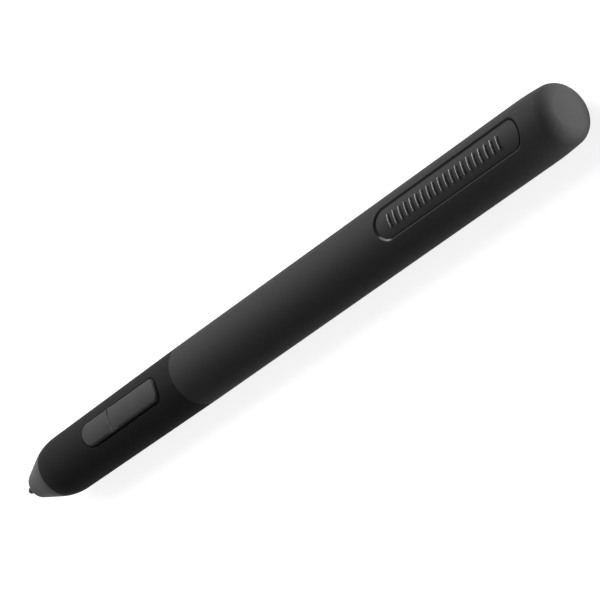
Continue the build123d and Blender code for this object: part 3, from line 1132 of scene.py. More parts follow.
class Paintshop:
    """Makes the materials, from shader node groups that they share."""

    def __init__(self) -> None:
        """Builds the shared groups and then one material for each finish."""
        self.grain = self._grain_group()
        self.edges = self._edge_group()
        self.materials = {finish.slot: self._material(finish) for finish in FINISHES}
        # Lighter copy of the inlay's finish for the ribs: a painted highlight
        self.ribs = self._material(RIB_HIGHLIGHT_FINISH)

    @staticmethod
    def _grain_group() -> NodeTree:
        """Fine moulded grain: a height for bump, and a slow mottle from 0 to 1.

        Returns:
            The group.
        """
        inputs, outputs = {"Scale": "Float", "Mottle Scale": "Float"}, {"Height": "Float", "Mottle": "Float"}
        group = new_group("moulded_grain", "ShaderNodeTree", inputs, outputs)
        given, place = group.given(), group.place()
        pits = group.add("ShaderNodeTexVoronoi", {"Vector": place, "Scale": given["Scale"]})
        pits.feature = "SMOOTH_F1"
        group.feed(pits, {"Smoothness": PIT_SMOOTHNESS})
        fine, slow = (
            group.add("ShaderNodeTexNoise", {"Vector": place, "Scale": given[scale], "Detail": detail})
            for scale, detail in (("Scale", FINE_DETAIL), ("Mottle Scale", SLOW_DETAIL))
        )
        height = group.math("ADD", pits.outputs["Distance"], fine.outputs["Fac"])
        group.add("NodeGroupOutput", {"Height": height, "Mottle": slow.outputs["Fac"]})
        return group.tree

    @staticmethod
    def _edge_group() -> NodeTree:
        """Mask of edges that handling has polished and of painted highlights (glints), broken up so that it isn't
        even.

        Returns:
            The group.
        """
        group = new_group("worn_and_glint_edges", "ShaderNodeTree", {"Patch Scale": "Float"}, {"Mask": "Float"})
        noise = {"Vector": group.place(), "Scale": group.given()["Patch Scale"], "Detail": FINE_DETAIL}
        patches = group.add("ShaderNodeTexNoise", noise).outputs["Fac"]
        worn_and_glint = group.add("ShaderNodeAttribute", {})
        worn_and_glint.attribute_name = "worn_and_glint_edge"
        broken = group.ramp(patches, PATCH_LIMITS)
        mask = group.math("MULTIPLY", broken, worn_and_glint.outputs["Fac"])
        mask.node.use_clamp = True
        group.add("NodeGroupOutput", {"Mask": mask})
        return group.tree

    def _material(self, finish: Finish) -> Material:
        """Material of one finish.

        Args:
            finish: The finish.

        Returns:
            The material.
        """
        material, wiring, shader = new_material(finish.name or finish.slot.value + "_finish")
        grain = wiring.share(self.grain, {"Scale": finish.grain_scale * 1000.0, "Mottle Scale": MOTTLE_SCALE})
        edges = wiring.share(self.edges, {"Patch Scale": PATCH_SCALE})
        base = self._patterned(wiring, finish)
        varied = wiring.mix(grain["Mottle"], base, finish.lighter(1.0 + MOTTLE_LIGHT * finish.mottle))
        # Lighter colour under the edge mask: rubbed edges, and painted highlights (glints)
        lit = finish.lighter(1.0 + finish.edge_light, EDGE_LIFT * finish.edge_light)
        edged = wiring.mix(edges["Mask"], varied, lit)
        swing = finish.mottle * MOTTLE_ROUGHNESS
        rough = wiring.ramp(grain["Mottle"], {"To Min": finish.roughness - swing, "To Max": finish.roughness + swing})
        bump = {"Strength": 1.0, "Distance": finish.grain_depth / 1000.0, "Height": grain["Height"]}
        looks = {
            "Base Color": edged,
            "Metallic": finish.metallic,
            "Specular IOR Level": finish.specular,
            "Roughness": wiring.math("MULTIPLY_ADD", edges["Mask"], -finish.edge_polish, rough),
            "Normal": wiring.add("ShaderNodeBump", bump).outputs["Normal"],
        }
        wiring.feed(shader, looks)
        return material

    @staticmethod
    def _patterned(wiring: Wiring, finish: Finish) -> NodeSocket | tuple[float, float, float]:
        """Base colour of a finish, with its pattern if it has one.

        Args:
            wiring: Node tree of the material.
            finish: The finish.

        Returns:
            The plain colour, or the socket that gives the patterned one.
        """
        if finish.pattern is Pattern.PLAIN:
            return finish.colour
        place, second = wiring.place(), finish.second
        if finish.pattern is Pattern.TRACES:
            lines = {"Mortar Size": TRACE_GAP, "Mortar": WHITE, "Color1": BLACK, "Color2": BLACK}
            texture = wiring.add("ShaderNodeTexBrick", {"Vector": place, "Scale": TRACE_SCALE, **lines})
            factor = wiring.ramp(texture.outputs["Color"], {})
        elif finish.pattern is Pattern.SPECKLED:
            texture = wiring.add("ShaderNodeTexVoronoi", {"Vector": place, "Scale": SPECKLE_SCALE})
            factor = wiring.ramp(texture.outputs["Distance"], {"From Max": SPECKLE_REACH})
        else:
            along = wiring.add("ShaderNodeMapping", {"Vector": place, "Scale": BRUSH_STRETCH})
            noise = {"Vector": along.outputs["Vector"], "Scale": BRUSH_SCALE}
            factor = wiring.ramp(wiring.add("ShaderNodeTexNoise", noise).outputs["Fac"], {})
            second = finish.lighter(BRUSH_SHADE)
        return wiring.mix(factor, finish.colour, second)

    def dress(self, piece: Object, slot: Slot) -> None:
        """Gives a piece its one material, unless it was made with one."""
        if not piece.data.materials:
            piece.data.materials.append(self.materials[slot])


class Repeats:
    """Geometry Nodes trees for what repeats along the pen, and the plain meshes that they give."""

    ARC_POINTS = 17
    FILLET_POINTS = 3
    WIRE_POINTS = 10
    UPRIGHT = (math.pi / 2.0, 0.0, math.pi / 2.0)
    LYING = (0.0, math.pi / 2.0, 0.0)

    def __init__(self) -> None:
        """Builds the trees."""
        self.ribs = self._rib_tree()
        self.turns = self._turns_tree()

    @staticmethod
    def _tree(name: str, inputs: dict[str, str]) -> Wiring:
        """Empty tree, named inputs beside its geometry and its material."""
        whole = {"Geometry": "Geometry"}
        return new_group(name, "GeometryNodeTree", {**whole, **inputs, "Material": "Material"}, whole)

    @staticmethod
    def _sweep(tree: Wiring, curve: NodeSocket, section: NodeSocket) -> NodeSocket:
        """Closed solid of a section along a curve."""
        swept = {"Curve": curve, "Profile Curve": section, "Fill Caps": True}
        return tree.add("GeometryNodeCurveToMesh", swept).outputs["Mesh"]

    @staticmethod
    def _close(tree: Wiring, shape: NodeSocket, material: NodeSocket) -> NodeTree:
        """Ends a tree: real geometry, smooth, with its material.

        Args:
            tree: The tree.
            shape: What it makes.
            material: Its material.

        Returns:
            The finished tree.
        """
        for kind in ("GeometryNodeRealizeInstances", "GeometryNodeSetShadeSmooth"):
            shape = tree.add(kind, {"Geometry": shape}).outputs["Geometry"]
        coat = tree.add("GeometryNodeSetMaterial", {"Geometry": shape, "Material": material})
        tree.add("NodeGroupOutput", {"Geometry": coat.outputs["Geometry"]})
        return tree.tree

    def _rib_tree(self) -> NodeTree:
        """Rounded cross ribs in a row along the pen, each bent round its axis.

        Returns:
            The tree.
        """
        lengths = ("Pitch", "Seat Radius", "Rib Length", "Rib Width", "Rib Depth", "Edge Round")
        tree = self._tree("cross_ribs", {"Count": "Int", "First Place": "Vector", **dict.fromkeys(lengths, "Float")})
        given = tree.given()
        seat = given["Seat Radius"]
        sweep = tree.math("DIVIDE", given["Rib Length"], seat)
        start = tree.math("ADD", tree.math("MULTIPLY", sweep, -0.5), math.pi / 2.0)
        bend = {"Resolution": self.ARC_POINTS, "Radius": seat, "Start Angle": start, "Sweep Angle": sweep}
        arc = tree.add("GeometryNodeCurveArc", bend)
        turn = {"Geometry": arc.outputs["Curve"], "Rotation": self.UPRIGHT}
        upright = tree.add("GeometryNodeTransform", turn)
        sides = {"Width": given["Rib Depth"], "Height": given["Rib Width"]}
        section = tree.add("GeometryNodeCurvePrimitiveQuadrilateral", sides)
        rounded = tree.add("GeometryNodeFilletCurve", {})
        rounded.mode = "POLY"
        ease = {"Curve": section.outputs["Curve"], "Radius": given["Edge Round"], "Count": self.FILLET_POINTS}
        tree.feed(rounded, ease)
        rib = self._sweep(tree, upright.outputs["Geometry"], rounded.outputs["Curve"])
        step = tree.add("ShaderNodeCombineXYZ", {"X": given["Pitch"]}).outputs["Vector"]
        places = {"Count": given["Count"], "Start Location": given["First Place"], "Offset": step}
        row = tree.add("GeometryNodeMeshLine", places)
        placed = tree.add("GeometryNodeInstanceOnPoints", {"Points": row.outputs["Mesh"], "Instance": rib})
        return self._close(tree, placed.outputs["Instances"], given["Material"])

    def _turns_tree(self) -> NodeTree:
        """Round wire wound round the pen's axis.

        Returns:
            The tree.
        """
        lengths = ("Turns", "Turn Radius", "Wound Length", "Wire Radius")
        tree = self._tree("wire_turns", {"Steps": "Int", "Start Place": "Vector", **dict.fromkeys(lengths, "Float")})
        given = tree.given()
        turns = {
            "Resolution": given["Steps"],
            "Rotations": given["Turns"],
            "Start Radius": given["Turn Radius"],
            "End Radius": given["Turn Radius"],
            "Height": given["Wound Length"],
        }
        coil = tree.add("GeometryNodeCurveSpiral", turns).outputs["Curve"]
        lie = {"Geometry": coil, "Rotation": self.LYING, "Translation": given["Start Place"]}
        laid = tree.add("GeometryNodeTransform", lie).outputs["Geometry"]
        wire = {"Resolution": self.WIRE_POINTS, "Radius": given["Wire Radius"]}
        section = tree.add("GeometryNodeCurvePrimitiveCircle", wire)
        return self._close(tree, self._sweep(tree, laid, section.outputs["Curve"]), given["Material"])

    @staticmethod
    def bake(
        tree: NodeTree, name: str, first: float, lengths: dict[str, float], others: dict[str, object]
    ) -> Object:
        """Runs a tree and keeps its result as a plain mesh.

        Args:
            tree: The tree.
            name: Name of the piece.
            first: Place along the pen where it starts.
            lengths: Inputs in millimetres.
            others: The other inputs.

        Returns:
            The piece, with no modifier.
        """
        place = tuple(pen_point(first, 0.0, 0.0))
        values = {"First Place": place, "Start Place": place, **others}
        values.update({label: length / 1000.0 for label, length in lengths.items()})
        piece = add_object(name, bpy.data.meshes.new(name + "_start"))
        modifier = piece.modifiers.new("repeat", "NODES")
        modifier.node_group = tree
        for socket in tree.interface.items_tree:
            if socket.in_out == "INPUT" and socket.name in values:
                modifier[socket.identifier] = values[socket.name]
        whole = piece.evaluated_get(bpy.context.evaluated_depsgraph_get())
        mesh = bpy.data.meshes.new_from_object(whole)
        piece.modifiers.remove(modifier)
        start, piece.data = piece.data, mesh
        bpy.data.meshes.remove(start)
        mesh.name = name
        return piece


@dataclass
class NoseCone:
    """Fixed cone with the hole for the nib, and the spigot that plugs into the shell."""

    form: PenForm
    hole_radius: float = 0.85
    hole_round: float = 0.12
    seat_at: float = 5.65
    seat_end_at: float = 7.65
    seat_radius: float = 1.85
    cavity_front_radius: float = 2.6
    bore_radius: float = 3.2
    spigot_radius: float = 4.15
    spigot_end_at: float = 15.45
    spigot_chamfer: float = 0.3
    edge_round: float = 0.09
    edge_margin: float = 0.1
    side_step: float = 0.45
    hole_wear: float = 0.4
    face_wear: float = 0.1
    shoulder_wear: float = 0.25
    ring_wear: float = 0.7

    def build(self) -> Object:
        """Turns the cone's closed profile.

        Returns:
            The piece.
        """
        form, draft = self.form, Draft()
        hole_front = form.nib_protrusion + self.hole_round
        rounded_to = self.hole_radius + self.hole_round
        shoulder = form.shoulder()
        ring = end_round(form.surface(form.ring_at), form.ring_at, -1.0, self.edge_round)
        near = ring[0].at - self.edge_margin
        side = [form.surface(at) for at in (*spread(shoulder[-1].at, near, self.side_step), near, ring[0].at)]
        corners = [
            (form.ring_at, ring[-1].radius),
            (form.ring_at, self.spigot_radius),
            (self.spigot_end_at - self.spigot_chamfer, self.spigot_radius),
            (self.spigot_end_at, self.spigot_radius - self.spigot_chamfer),
            (self.spigot_end_at, self.bore_radius),
            (form.ring_at, self.bore_radius),
            (self.seat_end_at, self.cavity_front_radius),
            (self.seat_end_at, self.seat_radius),
            (self.seat_at, self.seat_radius),
            (self.seat_at, self.hole_radius),
            (hole_front, self.hole_radius),
        ]
        face = line_samples((form.nib_protrusion, rounded_to), (form.nib_protrusion, shoulder[0].radius), 2)
        spans = [
            (arc_samples((hole_front, rounded_to), self.hole_round, 270, 180, HOLE_STEPS), self.hole_wear),
            (face, self.face_wear),
            (shoulder, self.shoulder_wear),
            (side, 0.0),
            (ring, self.ring_wear),
        ]
        spans += [(line_samples(one, other), 0.0) for one, other in zip(corners, corners[1:])]
        draft.lathe(spans)
        return draft.make("nose_cone_moulding")


@dataclass
class GripSleeve:
    """Soft sleeve: ogive nose, slow taper and the slot for the keys."""

    form: PenForm
    slot: Outline
    wall: float = 0.6
    edge_round: float = 0.09
    slot_round: float = 0.1
    window_front: float = 2.2
    window_rear: float = 1.9
    edge_margin: float = 0.08
    nose_end_at: float = 15.0
    nose_step: float = 0.4
    front_step: float = 1.2
    rear_step: float = 1.0
    window_margin: float = 0.5
    slot_wear: float = 0.3
    end_wear: float = 0.6

    def build(self) -> Object:
        """Makes the outer and inner skins, the slot through both, and the two end faces.

        Returns:
            The piece.
        """
        form, slot, draft = self.form, self.slot, Draft()
        marks = slot.window_places(slot.start - self.window_front, slot.end + self.window_rear)
        nose, seam = form.surface(form.ring_at), form.surface(form.seam_at - TINY)
        nose_round = end_round(nose, form.ring_at, 1.0, self.edge_round)
        seam_round = end_round(seam, form.seam_at, -1.0, self.edge_round)
        first, last = nose_round[0].at, seam_round[0].at
        places = [first, first + self.edge_margin, *spread(first + self.nose_step, self.nose_end_at, self.nose_step)]
        places += spread(self.nose_end_at, marks[0], self.front_step)
        window = Window(len(places), len(places) + len(marks) - 1, slot.across // 2)
        places += [*marks, *spread(marks[-1] + self.window_margin, last - self.edge_margin, self.rear_step)]
        places += [last - self.edge_margin, last]
        outer = draft.turned([form.surface(at) for at in places])
        draft.skin(outer, window)
        sheet = [form.surface(at).sunk(self.wall).facing_in() for at in places[1:-1]]
        inner = draft.turned([self._inner_end(form.ring_at, nose), *sheet, self._inner_end(form.seam_at, seam)])
        draft.skin(inner, window)
        self._end(draft, outer[0], nose_round, inner[0])
        self._end(draft, outer[-1], seam_round, inner[-1])
        top, under = Lift(form), Lift(form, self.wall, facing=-1.0)
        rim = top.rim(draft, slot, self.slot_round, True, EdgeWearAndGlint(self.slot_wear))
        window.frame(draft, outer, rim[0], top, Window.OUTER_SHARES)
        draft.skin(rim)
        low = under.loop(draft, slot)
        draft.wall(rim[-1], low, wall_normals(slot, True))
        window.frame(draft, inner, low, under, Window.INNER_SHARES)
        return draft.make("grip_sleeve_skin")

    def _inner_end(self, at: float, outer: Sample) -> Sample:
        """Inner edge of an end face."""
        return Sample(at, outer.radius - self.wall / outer.normal_radius, -outer.normal_at, -outer.normal_radius)

    def _end(self, draft: Draft, skin: Ring, rounded: list[Sample], inner: Ring) -> None:
        """Closes one end: the round from the outer skin, then the flat face down to the inner edge.

        Args:
            draft: Mesh that it is added to.
            skin: Last loop of the outer skin.
            rounded: Samples of the round, from the skin to the face.
            inner: Loop of the inner edge.
        """
        rings = draft.turned(rounded, self.end_wear, skin)
        draft.skin(rings)
        draft.wall(rings[-1], inner, [Vector((math.copysign(1.0, rounded[-1].normal_at), 0.0, 0.0))] * COLUMNS)


@dataclass
class SideKey:
    """One key: curved cap with bevelled edges, upright walls, and the flange under the shell."""

    name: str
    parting_at: float
    outline: Outline
    flange: Outline
    face_radius: float = 6.25
    edge_round: float = 0.32
    parting_bevel: float = 0.12
    parting_reach: float = 0.3
    parting_fade: float = 0.9
    flange_top: float = 3.1
    flange_bottom: float = 2.5
    edge_wear: float = 0.03
    # Place and reach of a painted highlight (glint) along the parting, where the roughness is also lower
    glint_and_polish_across: float = -0.8
    glint_and_polish_reach: float = 2.3

    def build(self) -> Object:
        """Makes the closed cap and flange.

        Returns:
            The piece.
        """
        draft, walls = Draft(), wall_normals(self.outline, False)
        # Full-value patch at the parting: a painted highlight (glint) on the bevels of both keys
        wear_and_glint = EdgeWearAndGlint(self.edge_wear, (Patch(self.parting_at, self.glint_and_polish_across, self.glint_and_polish_reach, 1.0),))
        low = raised_cap(draft, self.outline, Lift(radius=self.face_radius), self.bevel, wear_and_glint, corner_bevel)
        foot = level_loop(draft, self.outline, self.flange_top)
        draft.wall(low, foot, walls)
        edge = level_loop(draft, self.flange, self.flange_top)
        draft.wall(foot, edge, [Vector((0.0, 0.0, 1.0))] * len(walls))
        base = level_loop(draft, self.flange, self.flange_bottom)
        draft.bridge(edge, base)
        down = base.again([Vector((0.0, 0.0, -1.0))] * len(walls))
        draft.grid(down, self.flange, Lift(level=self.flange_bottom, facing=-1.0))
        return draft.make(self.name)

    def bevel(self, at: float) -> float:
        """Size of the edge's bevel at a place along the pen, which is fine at the parting."""
        share = max(0.0, min(1.0, (abs(at - self.parting_at) - self.parting_reach) / self.parting_fade))
        return self.parting_bevel + (self.edge_round - self.parting_bevel) * share


@dataclass
class Barrel:
    """Plain tube with the recess for the inlay and a closed, softly shouldered tail."""

    form: PenForm
    recess: Outline
    floor_radius: float = 5.0
    rim_bevel: float = 0.26
    edge_round: float = 0.07
    bore_radius: float = 4.9
    rear_bore_radius: float = 4.3
    bore_step_at: float = 94.25
    bore_end_at: float = 159.0
    groove_at: float = 60.25
    groove_half: float = 0.55
    groove_depth: float = 0.2
    window_front: float = 2.4
    window_rear: float = 2.0
    edge_margin: float = 0.08
    seam_margin: float = 1.0
    tail_margin: float = 0.1
    side_step: float = 3.0
    tail_step: float = 0.5
    # Place and reach of a painted highlight (glint) at the recess's front end on its -Y side, where the roughness is
    # also lower
    glint_and_polish_along: float = 1.15
    glint_and_polish_across: float = 0.45
    glint_and_polish_reach: float = 1.5
    seam_wear: float = 0.015

    def build(self) -> Object:
        """Makes the outer skin round the recess, the tail, the recess and the bore.

        Returns:
            The piece.
        """
        form, recess, draft = self.form, self.recess, Draft()
        seam_round = end_round(form.surface(form.seam_at), form.seam_at, 1.0, self.edge_round)
        tail = form.tail()
        marks = recess.window_places(recess.start - self.window_front, recess.end + self.window_rear)
        first, last = seam_round[0].at, tail[0].at - self.tail_margin
        places = [first, first + self.edge_margin, *spread(first + self.seam_margin, marks[0], self.side_step)]
        window = Window(len(places), len(places) + len(marks) - 1, recess.across // 2)
        places += [*marks, *spread(marks[-1] + self.tail_step, last, self.tail_step), last]
        outer = draft.turned([form.surface(at) for at in places])
        outer += draft.turned(tail)
        draft.skin(outer, window)
        top, floor = Lift(form), Lift(radius=self.floor_radius)
        # Full-value patch on the bevel and the wall's foot: a painted highlight (glint)
        glint_and_polish_at = (recess.start + self.glint_and_polish_along, self.glint_and_polish_across - recess.half_width)
        wear_and_glint = EdgeWearAndGlint(patches=(Patch(*glint_and_polish_at, self.glint_and_polish_reach, 1.0),))
        rim = top.rim(draft, recess, self.rim_bevel, True, wear_and_glint, corner_bevel)
        window.frame(draft, outer, rim[0], top, Window.OUTER_SHARES)
        draft.skin(rim)
        low = floor.loop(draft, recess, wear_and_glint)
        draft.wall(rim[-1], low, wall_normals(recess, True))
        draft.grid(low, recess, floor)
        self._bore(draft, outer[0], seam_round)
        return draft.make("barrel_tube")

    def _bore(self, draft: Draft, skin: Ring, seam_round: list[Sample]) -> None:
        """Seam edge, seam face, snap groove and the stepped bore up to its closed end.

        Args:
            draft: Mesh that it is added to.
            skin: First loop of the outer skin.
            seam_round: Samples of the seam's rounded edge.
        """
        rings = draft.turned(seam_round, self.seam_wear, skin)
        draft.skin(rings)
        bore, rear, groove = self.bore_radius, self.rear_bore_radius, self.groove_at
        corners = [
            (self.form.seam_at, seam_round[-1].radius),
            (self.form.seam_at, bore),
            (groove - self.groove_half, bore),
            (groove, bore + self.groove_depth),
            (groove + self.groove_half, bore),
            (self.bore_step_at, bore),
            (self.bore_step_at, rear),
            (self.bore_end_at, rear),
            (self.bore_end_at, 0.0),
        ]
        for one, other in zip(corners, corners[1:]):
            rings = draft.turned([sample.facing_in() for sample in line_samples(one, other)], 0.0, rings[-1])
            draft.skin(rings)


@dataclass
class Inlay:
    """Curved plate in the barrel's recess, with plain raised cross ribs."""

    outline: Outline
    face_radius: float = 5.7
    seat_radius: float = 5.03
    edge_round: float = 0.1
    edge_wear: float = 0.15
    rib_first_at: float = 124.7
    rib_last_at: float = 155.4
    rib_count: int = 20
    rib_length: float = 2.35
    rib_width: float = 0.62
    rib_rise: float = 0.14
    rib_sunk: float = 0.12
    rib_round: float = 0.09

    def build(self) -> Object:
        """Makes the closed plate.

        Returns:
            The piece.
        """
        draft, seat = Draft(), Lift(radius=self.seat_radius, facing=-1.0)
        edge = raised_cap(draft, self.outline, Lift(radius=self.face_radius), self.edge_round, EdgeWearAndGlint(self.edge_wear))
        low = seat.loop(draft, self.outline)
        draft.wall(edge, low, wall_normals(self.outline, False))
        draft.grid(low, self.outline, seat)
        return draft.make("inlay_plate")

    def build_ribs(self, repeats: Repeats, material: Material) -> Object:
        """Makes the row of ribs on the plate.

        Args:
            repeats: Trees for what repeats.
            material: Material of the ribs.

        Returns:
            The ribs as one piece.
        """
        depth = self.rib_rise + self.rib_sunk
        lengths = {
            "Pitch": (self.rib_last_at - self.rib_first_at) / (self.rib_count - 1),
            "Seat Radius": self.face_radius + self.rib_rise - depth / 2.0,
            "Rib Length": self.rib_length,
            "Rib Width": self.rib_width,
            "Rib Depth": depth,
            "Edge Round": self.rib_round,
        }
        others = {"Count": self.rib_count, "Material": material}
        return repeats.bake(repeats.ribs, "inlay_ribs", self.rib_first_at, lengths, others)


@dataclass
class Nib:
    """Replaceable stem with a round tip."""

    radius: float = 0.68
    length: float = 18.65
    stem_steps: int = 24

    def build(self) -> Object:
        """Turns the stem.

        Returns:
            The piece.
        """
        draft, radius = Draft(), self.radius
        spans = [
            arc_samples((radius, 0.0), radius, 180.0, 90.0, TIP_STEPS),
            line_samples((radius, radius), (self.length, radius), self.stem_steps),
            line_samples((self.length, radius), (self.length, 0.0)),
        ]
        draft.lathe([(span, 0.0) for span in spans])
        return draft.make("nib_stem")


@dataclass
class Mechanism:
    """Wound pieces inside the pen: the fine winding on the core and the return spring."""

    winding_start: float = 8.25
    winding_length: float = 4.8
    winding_radius: float = 2.2
    winding_wire: float = 0.085
    winding_pitch: float = 2.05
    winding_steps: int = 28
    spring_start: float = 20.32
    spring_length: float = 2.86
    spring_radius: float = 1.5
    spring_wire: float = 0.14
    spring_turns: float = 5.0
    spring_steps: int = 40
    spring_anchor: float = 23.35
    spring_keep: float = 0.875

    def build_winding(self, repeats: Repeats, material: Material) -> Object:
        """Makes the winding, with its turns side by side.

        Args:
            repeats: Trees for what repeats.
            material: Material of the wire.

        Returns:
            The piece.
        """
        wire = self.winding_wire
        run = self.winding_length - 2.0 * wire
        lengths = {"Turn Radius": self.winding_radius, "Wound Length": run, "Wire Radius": wire}
        others = {"Turns": run / (self.winding_pitch * wire), "Steps": self.winding_steps, "Material": material}
        return repeats.bake(repeats.turns, "core_winding", self.winding_start + wire, lengths, others)

    def build_spring(self, repeats: Repeats, material: Material) -> Object:
        """Makes the return spring of round wire.

        Args:
            repeats: Trees for what repeats.
            material: Material of the wire.

        Returns:
            The piece.
        """
        radius, length, wire = self.spring_radius, self.spring_length, self.spring_wire
        lengths = {"Turn Radius": radius, "Wound Length": length, "Wire Radius": wire}
        others = {"Turns": self.spring_turns, "Steps": self.spring_steps, "Material": material}
        return repeats.bake(repeats.turns, "nib_spring", self.spring_start, lengths, others)


@dataclass(frozen=True)
class Lamp:
    """Soft rectangular lamp that faces the pen, with its width along the pen as near as can be."""

    name: str
    towards: tuple[float, float, float]
    distance: float
    size: tuple[float, float]
    watts: float


LAMPS = (
    Lamp("key_lamp", (-0.45, 0.6, 0.62), 0.9, (1.0, 0.85), 14.2),
    Lamp("fill_lamp", (-0.8, 0.08, 0.6), 1.1, (1.0, 1.0), 1.3),
    Lamp("side_lamp", (-0.6, -0.7, 0.36), 1.1, (1.0, 0.7), 0.2),
)


@dataclass
class Studio:
    """Pale floor, soft lamps and the camera at the photograph's viewing angle."""

    right: tuple[float, float, float] = (0.5665, -0.3042, -0.7661)
    back: tuple[float, float, float] = (0.719, -0.271, 0.639)
    target: tuple[float, float, float] = (0.0, 0.0, 0.006)
    distance: float = 0.8
    focal_pixels: float = 4539.0
    picture_pixels: float = 600.0
    sensor_width: float = 36.0
    sight: tuple[float, float] = (0.01, 20.0)
    aim_right: float = 0.003593
    aim_up: float = 0.002553
    dim_light: tuple[float, float, float] = (0.08, 0.08, 0.0825)
    floor_grey: float = 0.42
    floor_lift: float = 0.86
    floor_reach: float = 4.0
    floor_roughness: float = 0.9
    floor_specular: float = 0.1
    card_place: tuple[float, float, float] = (0.17, 0.05, 0.001)
    card_size: tuple[float, float] = (0.17, 0.22)
    card_watts: float = 0.75

    @staticmethod
    def light(name: str, size: tuple[float, float], watts: float) -> Object:
        """Adds a soft rectangular light.

        Args:
            name: Its name.
            size: Its width and height.
            watts: Its power.

        Returns:
            The light, which looks down.
        """
        light = bpy.data.lights.new(name, "AREA")
        light.shape = "RECTANGLE"
        light.size, light.size_y = size
        light.energy = watts
        return add_object(name, light)

    def lamps(self) -> None:
        """Sets the lamps round the pen, and a small bright card that lies on the floor and looks up."""
        for lamp in LAMPS:
            facing = Vector(lamp.towards).normalized()
            along = (Vector((1.0, 0.0, 0.0)) - facing * facing.x).normalized()
            turn = Matrix((along, facing.cross(along), facing)).transposed().to_4x4()
            light = self.light(lamp.name, lamp.size, lamp.watts)
            light.matrix_world = Matrix.Translation(Vector(self.target) + facing * lamp.distance) @ turn
        card = self.light("tail_card", self.card_size, self.card_watts)
        card.matrix_world = Matrix.Translation(Vector(self.card_place)) @ Matrix.Rotation(math.pi, 4, "X")

    @staticmethod
    def seen_by(wiring: Wiring) -> NodeSocket:
        """Mask of the rays that show the background: straight to the camera, mirrored, or through glass.

        Args:
            wiring: Node tree that the mask is made in.

        Returns:
            The mask's socket, 1 for those rays and 0 for the light that falls on the pen.
        """
        path = wiring.add("ShaderNodeLightPath", {}).outputs
        mask = path["Is Camera Ray"]
        for kind in ("Is Glossy Ray", "Is Transmission Ray"):
            mask = wiring.math("MAXIMUM", mask, path[kind])
        return mask

    def world(self) -> None:
        """White where it is seen, a dim even grey for the light on the pen."""
        world = bpy.data.worlds.new("surround")
        bpy.context.scene.world = world
        world.use_nodes = True
        background = next(node for node in world.node_tree.nodes if node.type == "BACKGROUND")
        wiring = Wiring(world.node_tree)
        wiring.feed(background, {"Color": wiring.mix(self.seen_by(wiring), self.dim_light, WHITE[:3])})

    def floor(self) -> None:
        """Plain floor under the pen, shown white with the pen's soft shadow on it."""
        mesh, reach = bpy.data.meshes.new("floor"), self.floor_reach
        corners = [(-reach, -reach, 0), (reach, -reach, 0), (reach, reach, 0), (-reach, reach, 0)]
        mesh.from_pydata(corners, [], [(0, 1, 2, 3)])
        floor = add_object("floor", mesh)
        material, wiring, shader = new_material("floor_finish")
        looks = {
            "Base Color": (self.floor_grey, self.floor_grey, self.floor_grey, 1.0),
            "Roughness": self.floor_roughness,
            "Specular IOR Level": self.floor_specular,
            "Emission Color": WHITE,
            "Emission Strength": wiring.math("MULTIPLY", self.seen_by(wiring), self.floor_lift),
        }
        wiring.feed(shader, looks)
        mesh.materials.append(material)

    def camera(self) -> None:
        """Camera that looks at the pen from the photograph's angle."""
        data = bpy.data.cameras.new("camera")
        data.sensor_width = self.sensor_width
        data.lens = self.focal_pixels / self.picture_pixels * self.sensor_width
        data.clip_start, data.clip_end = self.sight
        camera = add_object("camera", data)
        back, right = Vector(self.back).normalized(), Vector(self.right)
        right = (right - back * right.dot(back)).normalized()
        up = back.cross(right)
        turn = Matrix((right, up, back)).transposed().to_4x4()
        aim = Vector(self.target) + right * self.aim_right + up * self.aim_up
        camera.matrix_world = Matrix.Translation(aim + back * self.distance) @ turn
        bpy.context.scene.camera = camera

    def build(self) -> None:
        """Sets the whole studio."""
        bpy.context.scene.view_settings.view_transform = "Standard"
        self.world()
        self.floor()
        self.lamps()
        self.camera()


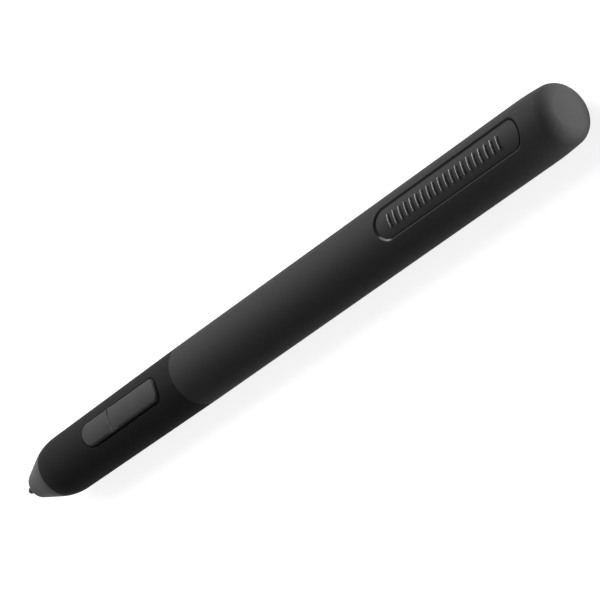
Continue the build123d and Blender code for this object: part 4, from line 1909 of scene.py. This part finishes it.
@dataclass
class Pen:
    """The whole pen: builds each sub-assembly, hangs it on its body and dresses it."""

    form: PenForm = PenForm()
    key_front: float = 27.75
    key_parting: float = 36.85
    key_rear: float = 52.25
    key_half_width: float = 2.15
    key_rear_round: float = 1.7
    parting_gap: float = 0.14
    slot_gap: float = 0.34
    slot_shift: float = -0.15
    flange_width: float = 0.5
    parting_round: float = 0.14
    inlay_front: float = 120.8
    inlay_rear: float = 160.9
    inlay_half_width: float = 2.65
    inlay_gap: float = 0.05
    inlay_rear_gap: float = 0.26

    @staticmethod
    def place(piece: Object, body: str, node: str | None, slot: Slot, paint: Paintshop) -> None:
        """Hangs a piece on its body, hides the CAD node that it stands for and dresses it.

        Args:
            piece: The piece.
            body: Body that it moves with.
            node: CAD node that it stands for, if any.
            slot: Its material slot.
            paint: Maker of the materials.
        """
        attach(piece, body)
        if node is not None:
            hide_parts(node)
        paint.dress(piece, slot)
        log.info("%s: %d faces on %s", piece.name, len(piece.data.polygons), body)

    def key_slot(self) -> Outline:
        """Slot in the grip for both keys, off their middle by the shift.

        Returns:
            Its outline.
        """
        gap, half = self.slot_gap, self.key_half_width + self.slot_gap
        start, end = self.key_front - gap, self.key_rear + gap
        return Outline(start, end, half, half, self.key_rear_round + gap, across=36, along=46, centre=self.slot_shift)

    def keys(self) -> tuple[SideKey, SideKey]:
        """The two keys.

        Returns:
            The front one and the rear one.
        """
        half, wide = self.key_half_width, self.flange_width
        front_end = self.key_parting - self.parting_gap / 2.0
        rear_start = self.key_parting + self.parting_gap / 2.0
        small, rear = self.parting_round, self.key_rear_round
        front = Outline(self.key_front, front_end, half, half, small, across=28, along=30)
        front_flange = Outline(self.key_front - wide, front_end, half + wide, half + wide, small, across=28, along=30)
        back = Outline(rear_start, self.key_rear, half, small, rear, across=28, along=36)
        back_flange = Outline(rear_start, self.key_rear + wide, half + wide, small, rear + wide, across=28, along=36)
        return (
            SideKey("front_key_cap", self.key_parting, front, front_flange),
            SideKey("rear_key_cap", self.key_parting, back, back_flange),
        )

    def build(self, paint: Paintshop, repeats: Repeats) -> None:
        """Builds and places every piece.

        Args:
            paint: Maker of the materials.
            repeats: Trees for what repeats.
        """
        half = self.inlay_half_width
        recess = Outline(self.inlay_front, self.inlay_rear, half, half, half, across=40, along=56)
        half -= self.inlay_gap
        front, rear = self.inlay_front + self.inlay_gap, self.inlay_rear - self.inlay_rear_gap
        inlay = Inlay(Outline(front, rear, half, half, half, across=32, along=56))
        works, front_key, rear_key = Mechanism(), *self.keys()
        copper, steel = paint.materials[Slot.COPPER], paint.materials[Slot.SPRING_STEEL]
        for piece, body, node, slot in (
            (NoseCone(self.form).build(), "housing", "nose_cone", Slot.CONE),
            (GripSleeve(self.form, self.key_slot()).build(), "housing", "grip_sleeve", Slot.GRIP),
            (front_key.build(), "front_key", "front_button", Slot.KEYS),
            (rear_key.build(), "rear_key", "rear_button", Slot.KEYS),
            (Barrel(self.form, recess).build(), "housing", "barrel", Slot.BARREL),
            (inlay.build(), "housing", "barrel_inlay", Slot.INLAY),
            (inlay.build_ribs(repeats, paint.ribs), "housing", None, Slot.INLAY),
            (Nib().build(), "nib", "nib", Slot.NIB),
            (works.build_winding(repeats, copper), "housing", "coil_winding", Slot.COPPER),
        ):
            self.place(piece, body, node, slot, paint)
        spring = works.build_spring(repeats, steel)
        self.place(spring, "housing", "return_spring", Slot.SPRING_STEEL, paint)
        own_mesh(spring)

    @staticmethod
    def dress_nodes(paint: Paintshop) -> None:
        """Gives every CAD node that is still shown the material of its own slot.

        Args:
            paint: Maker of the materials.
        """
        slots = {part["node"]: Slot(part["material_slot"]) for part in frame["record"]["subparts"]}
        for name, node in frame["nodes"].items():
            if node.hide_render:
                continue
            for place in range(len(node.material_slots)):
                node.material_slots[place].material = paint.materials[slots[name]]
            log.info("%s: dressed as %s", name, slots[name].value)


def main() -> None:
    """Builds the pen, then the studio."""
    logging.basicConfig(level=logging.INFO, format="%(name)s %(message)s")
    paint = Paintshop()
    Pen().build(paint, Repeats())
    Pen.dress_nodes(paint)
    Studio().build()


if __name__ == "__main__":
    main()
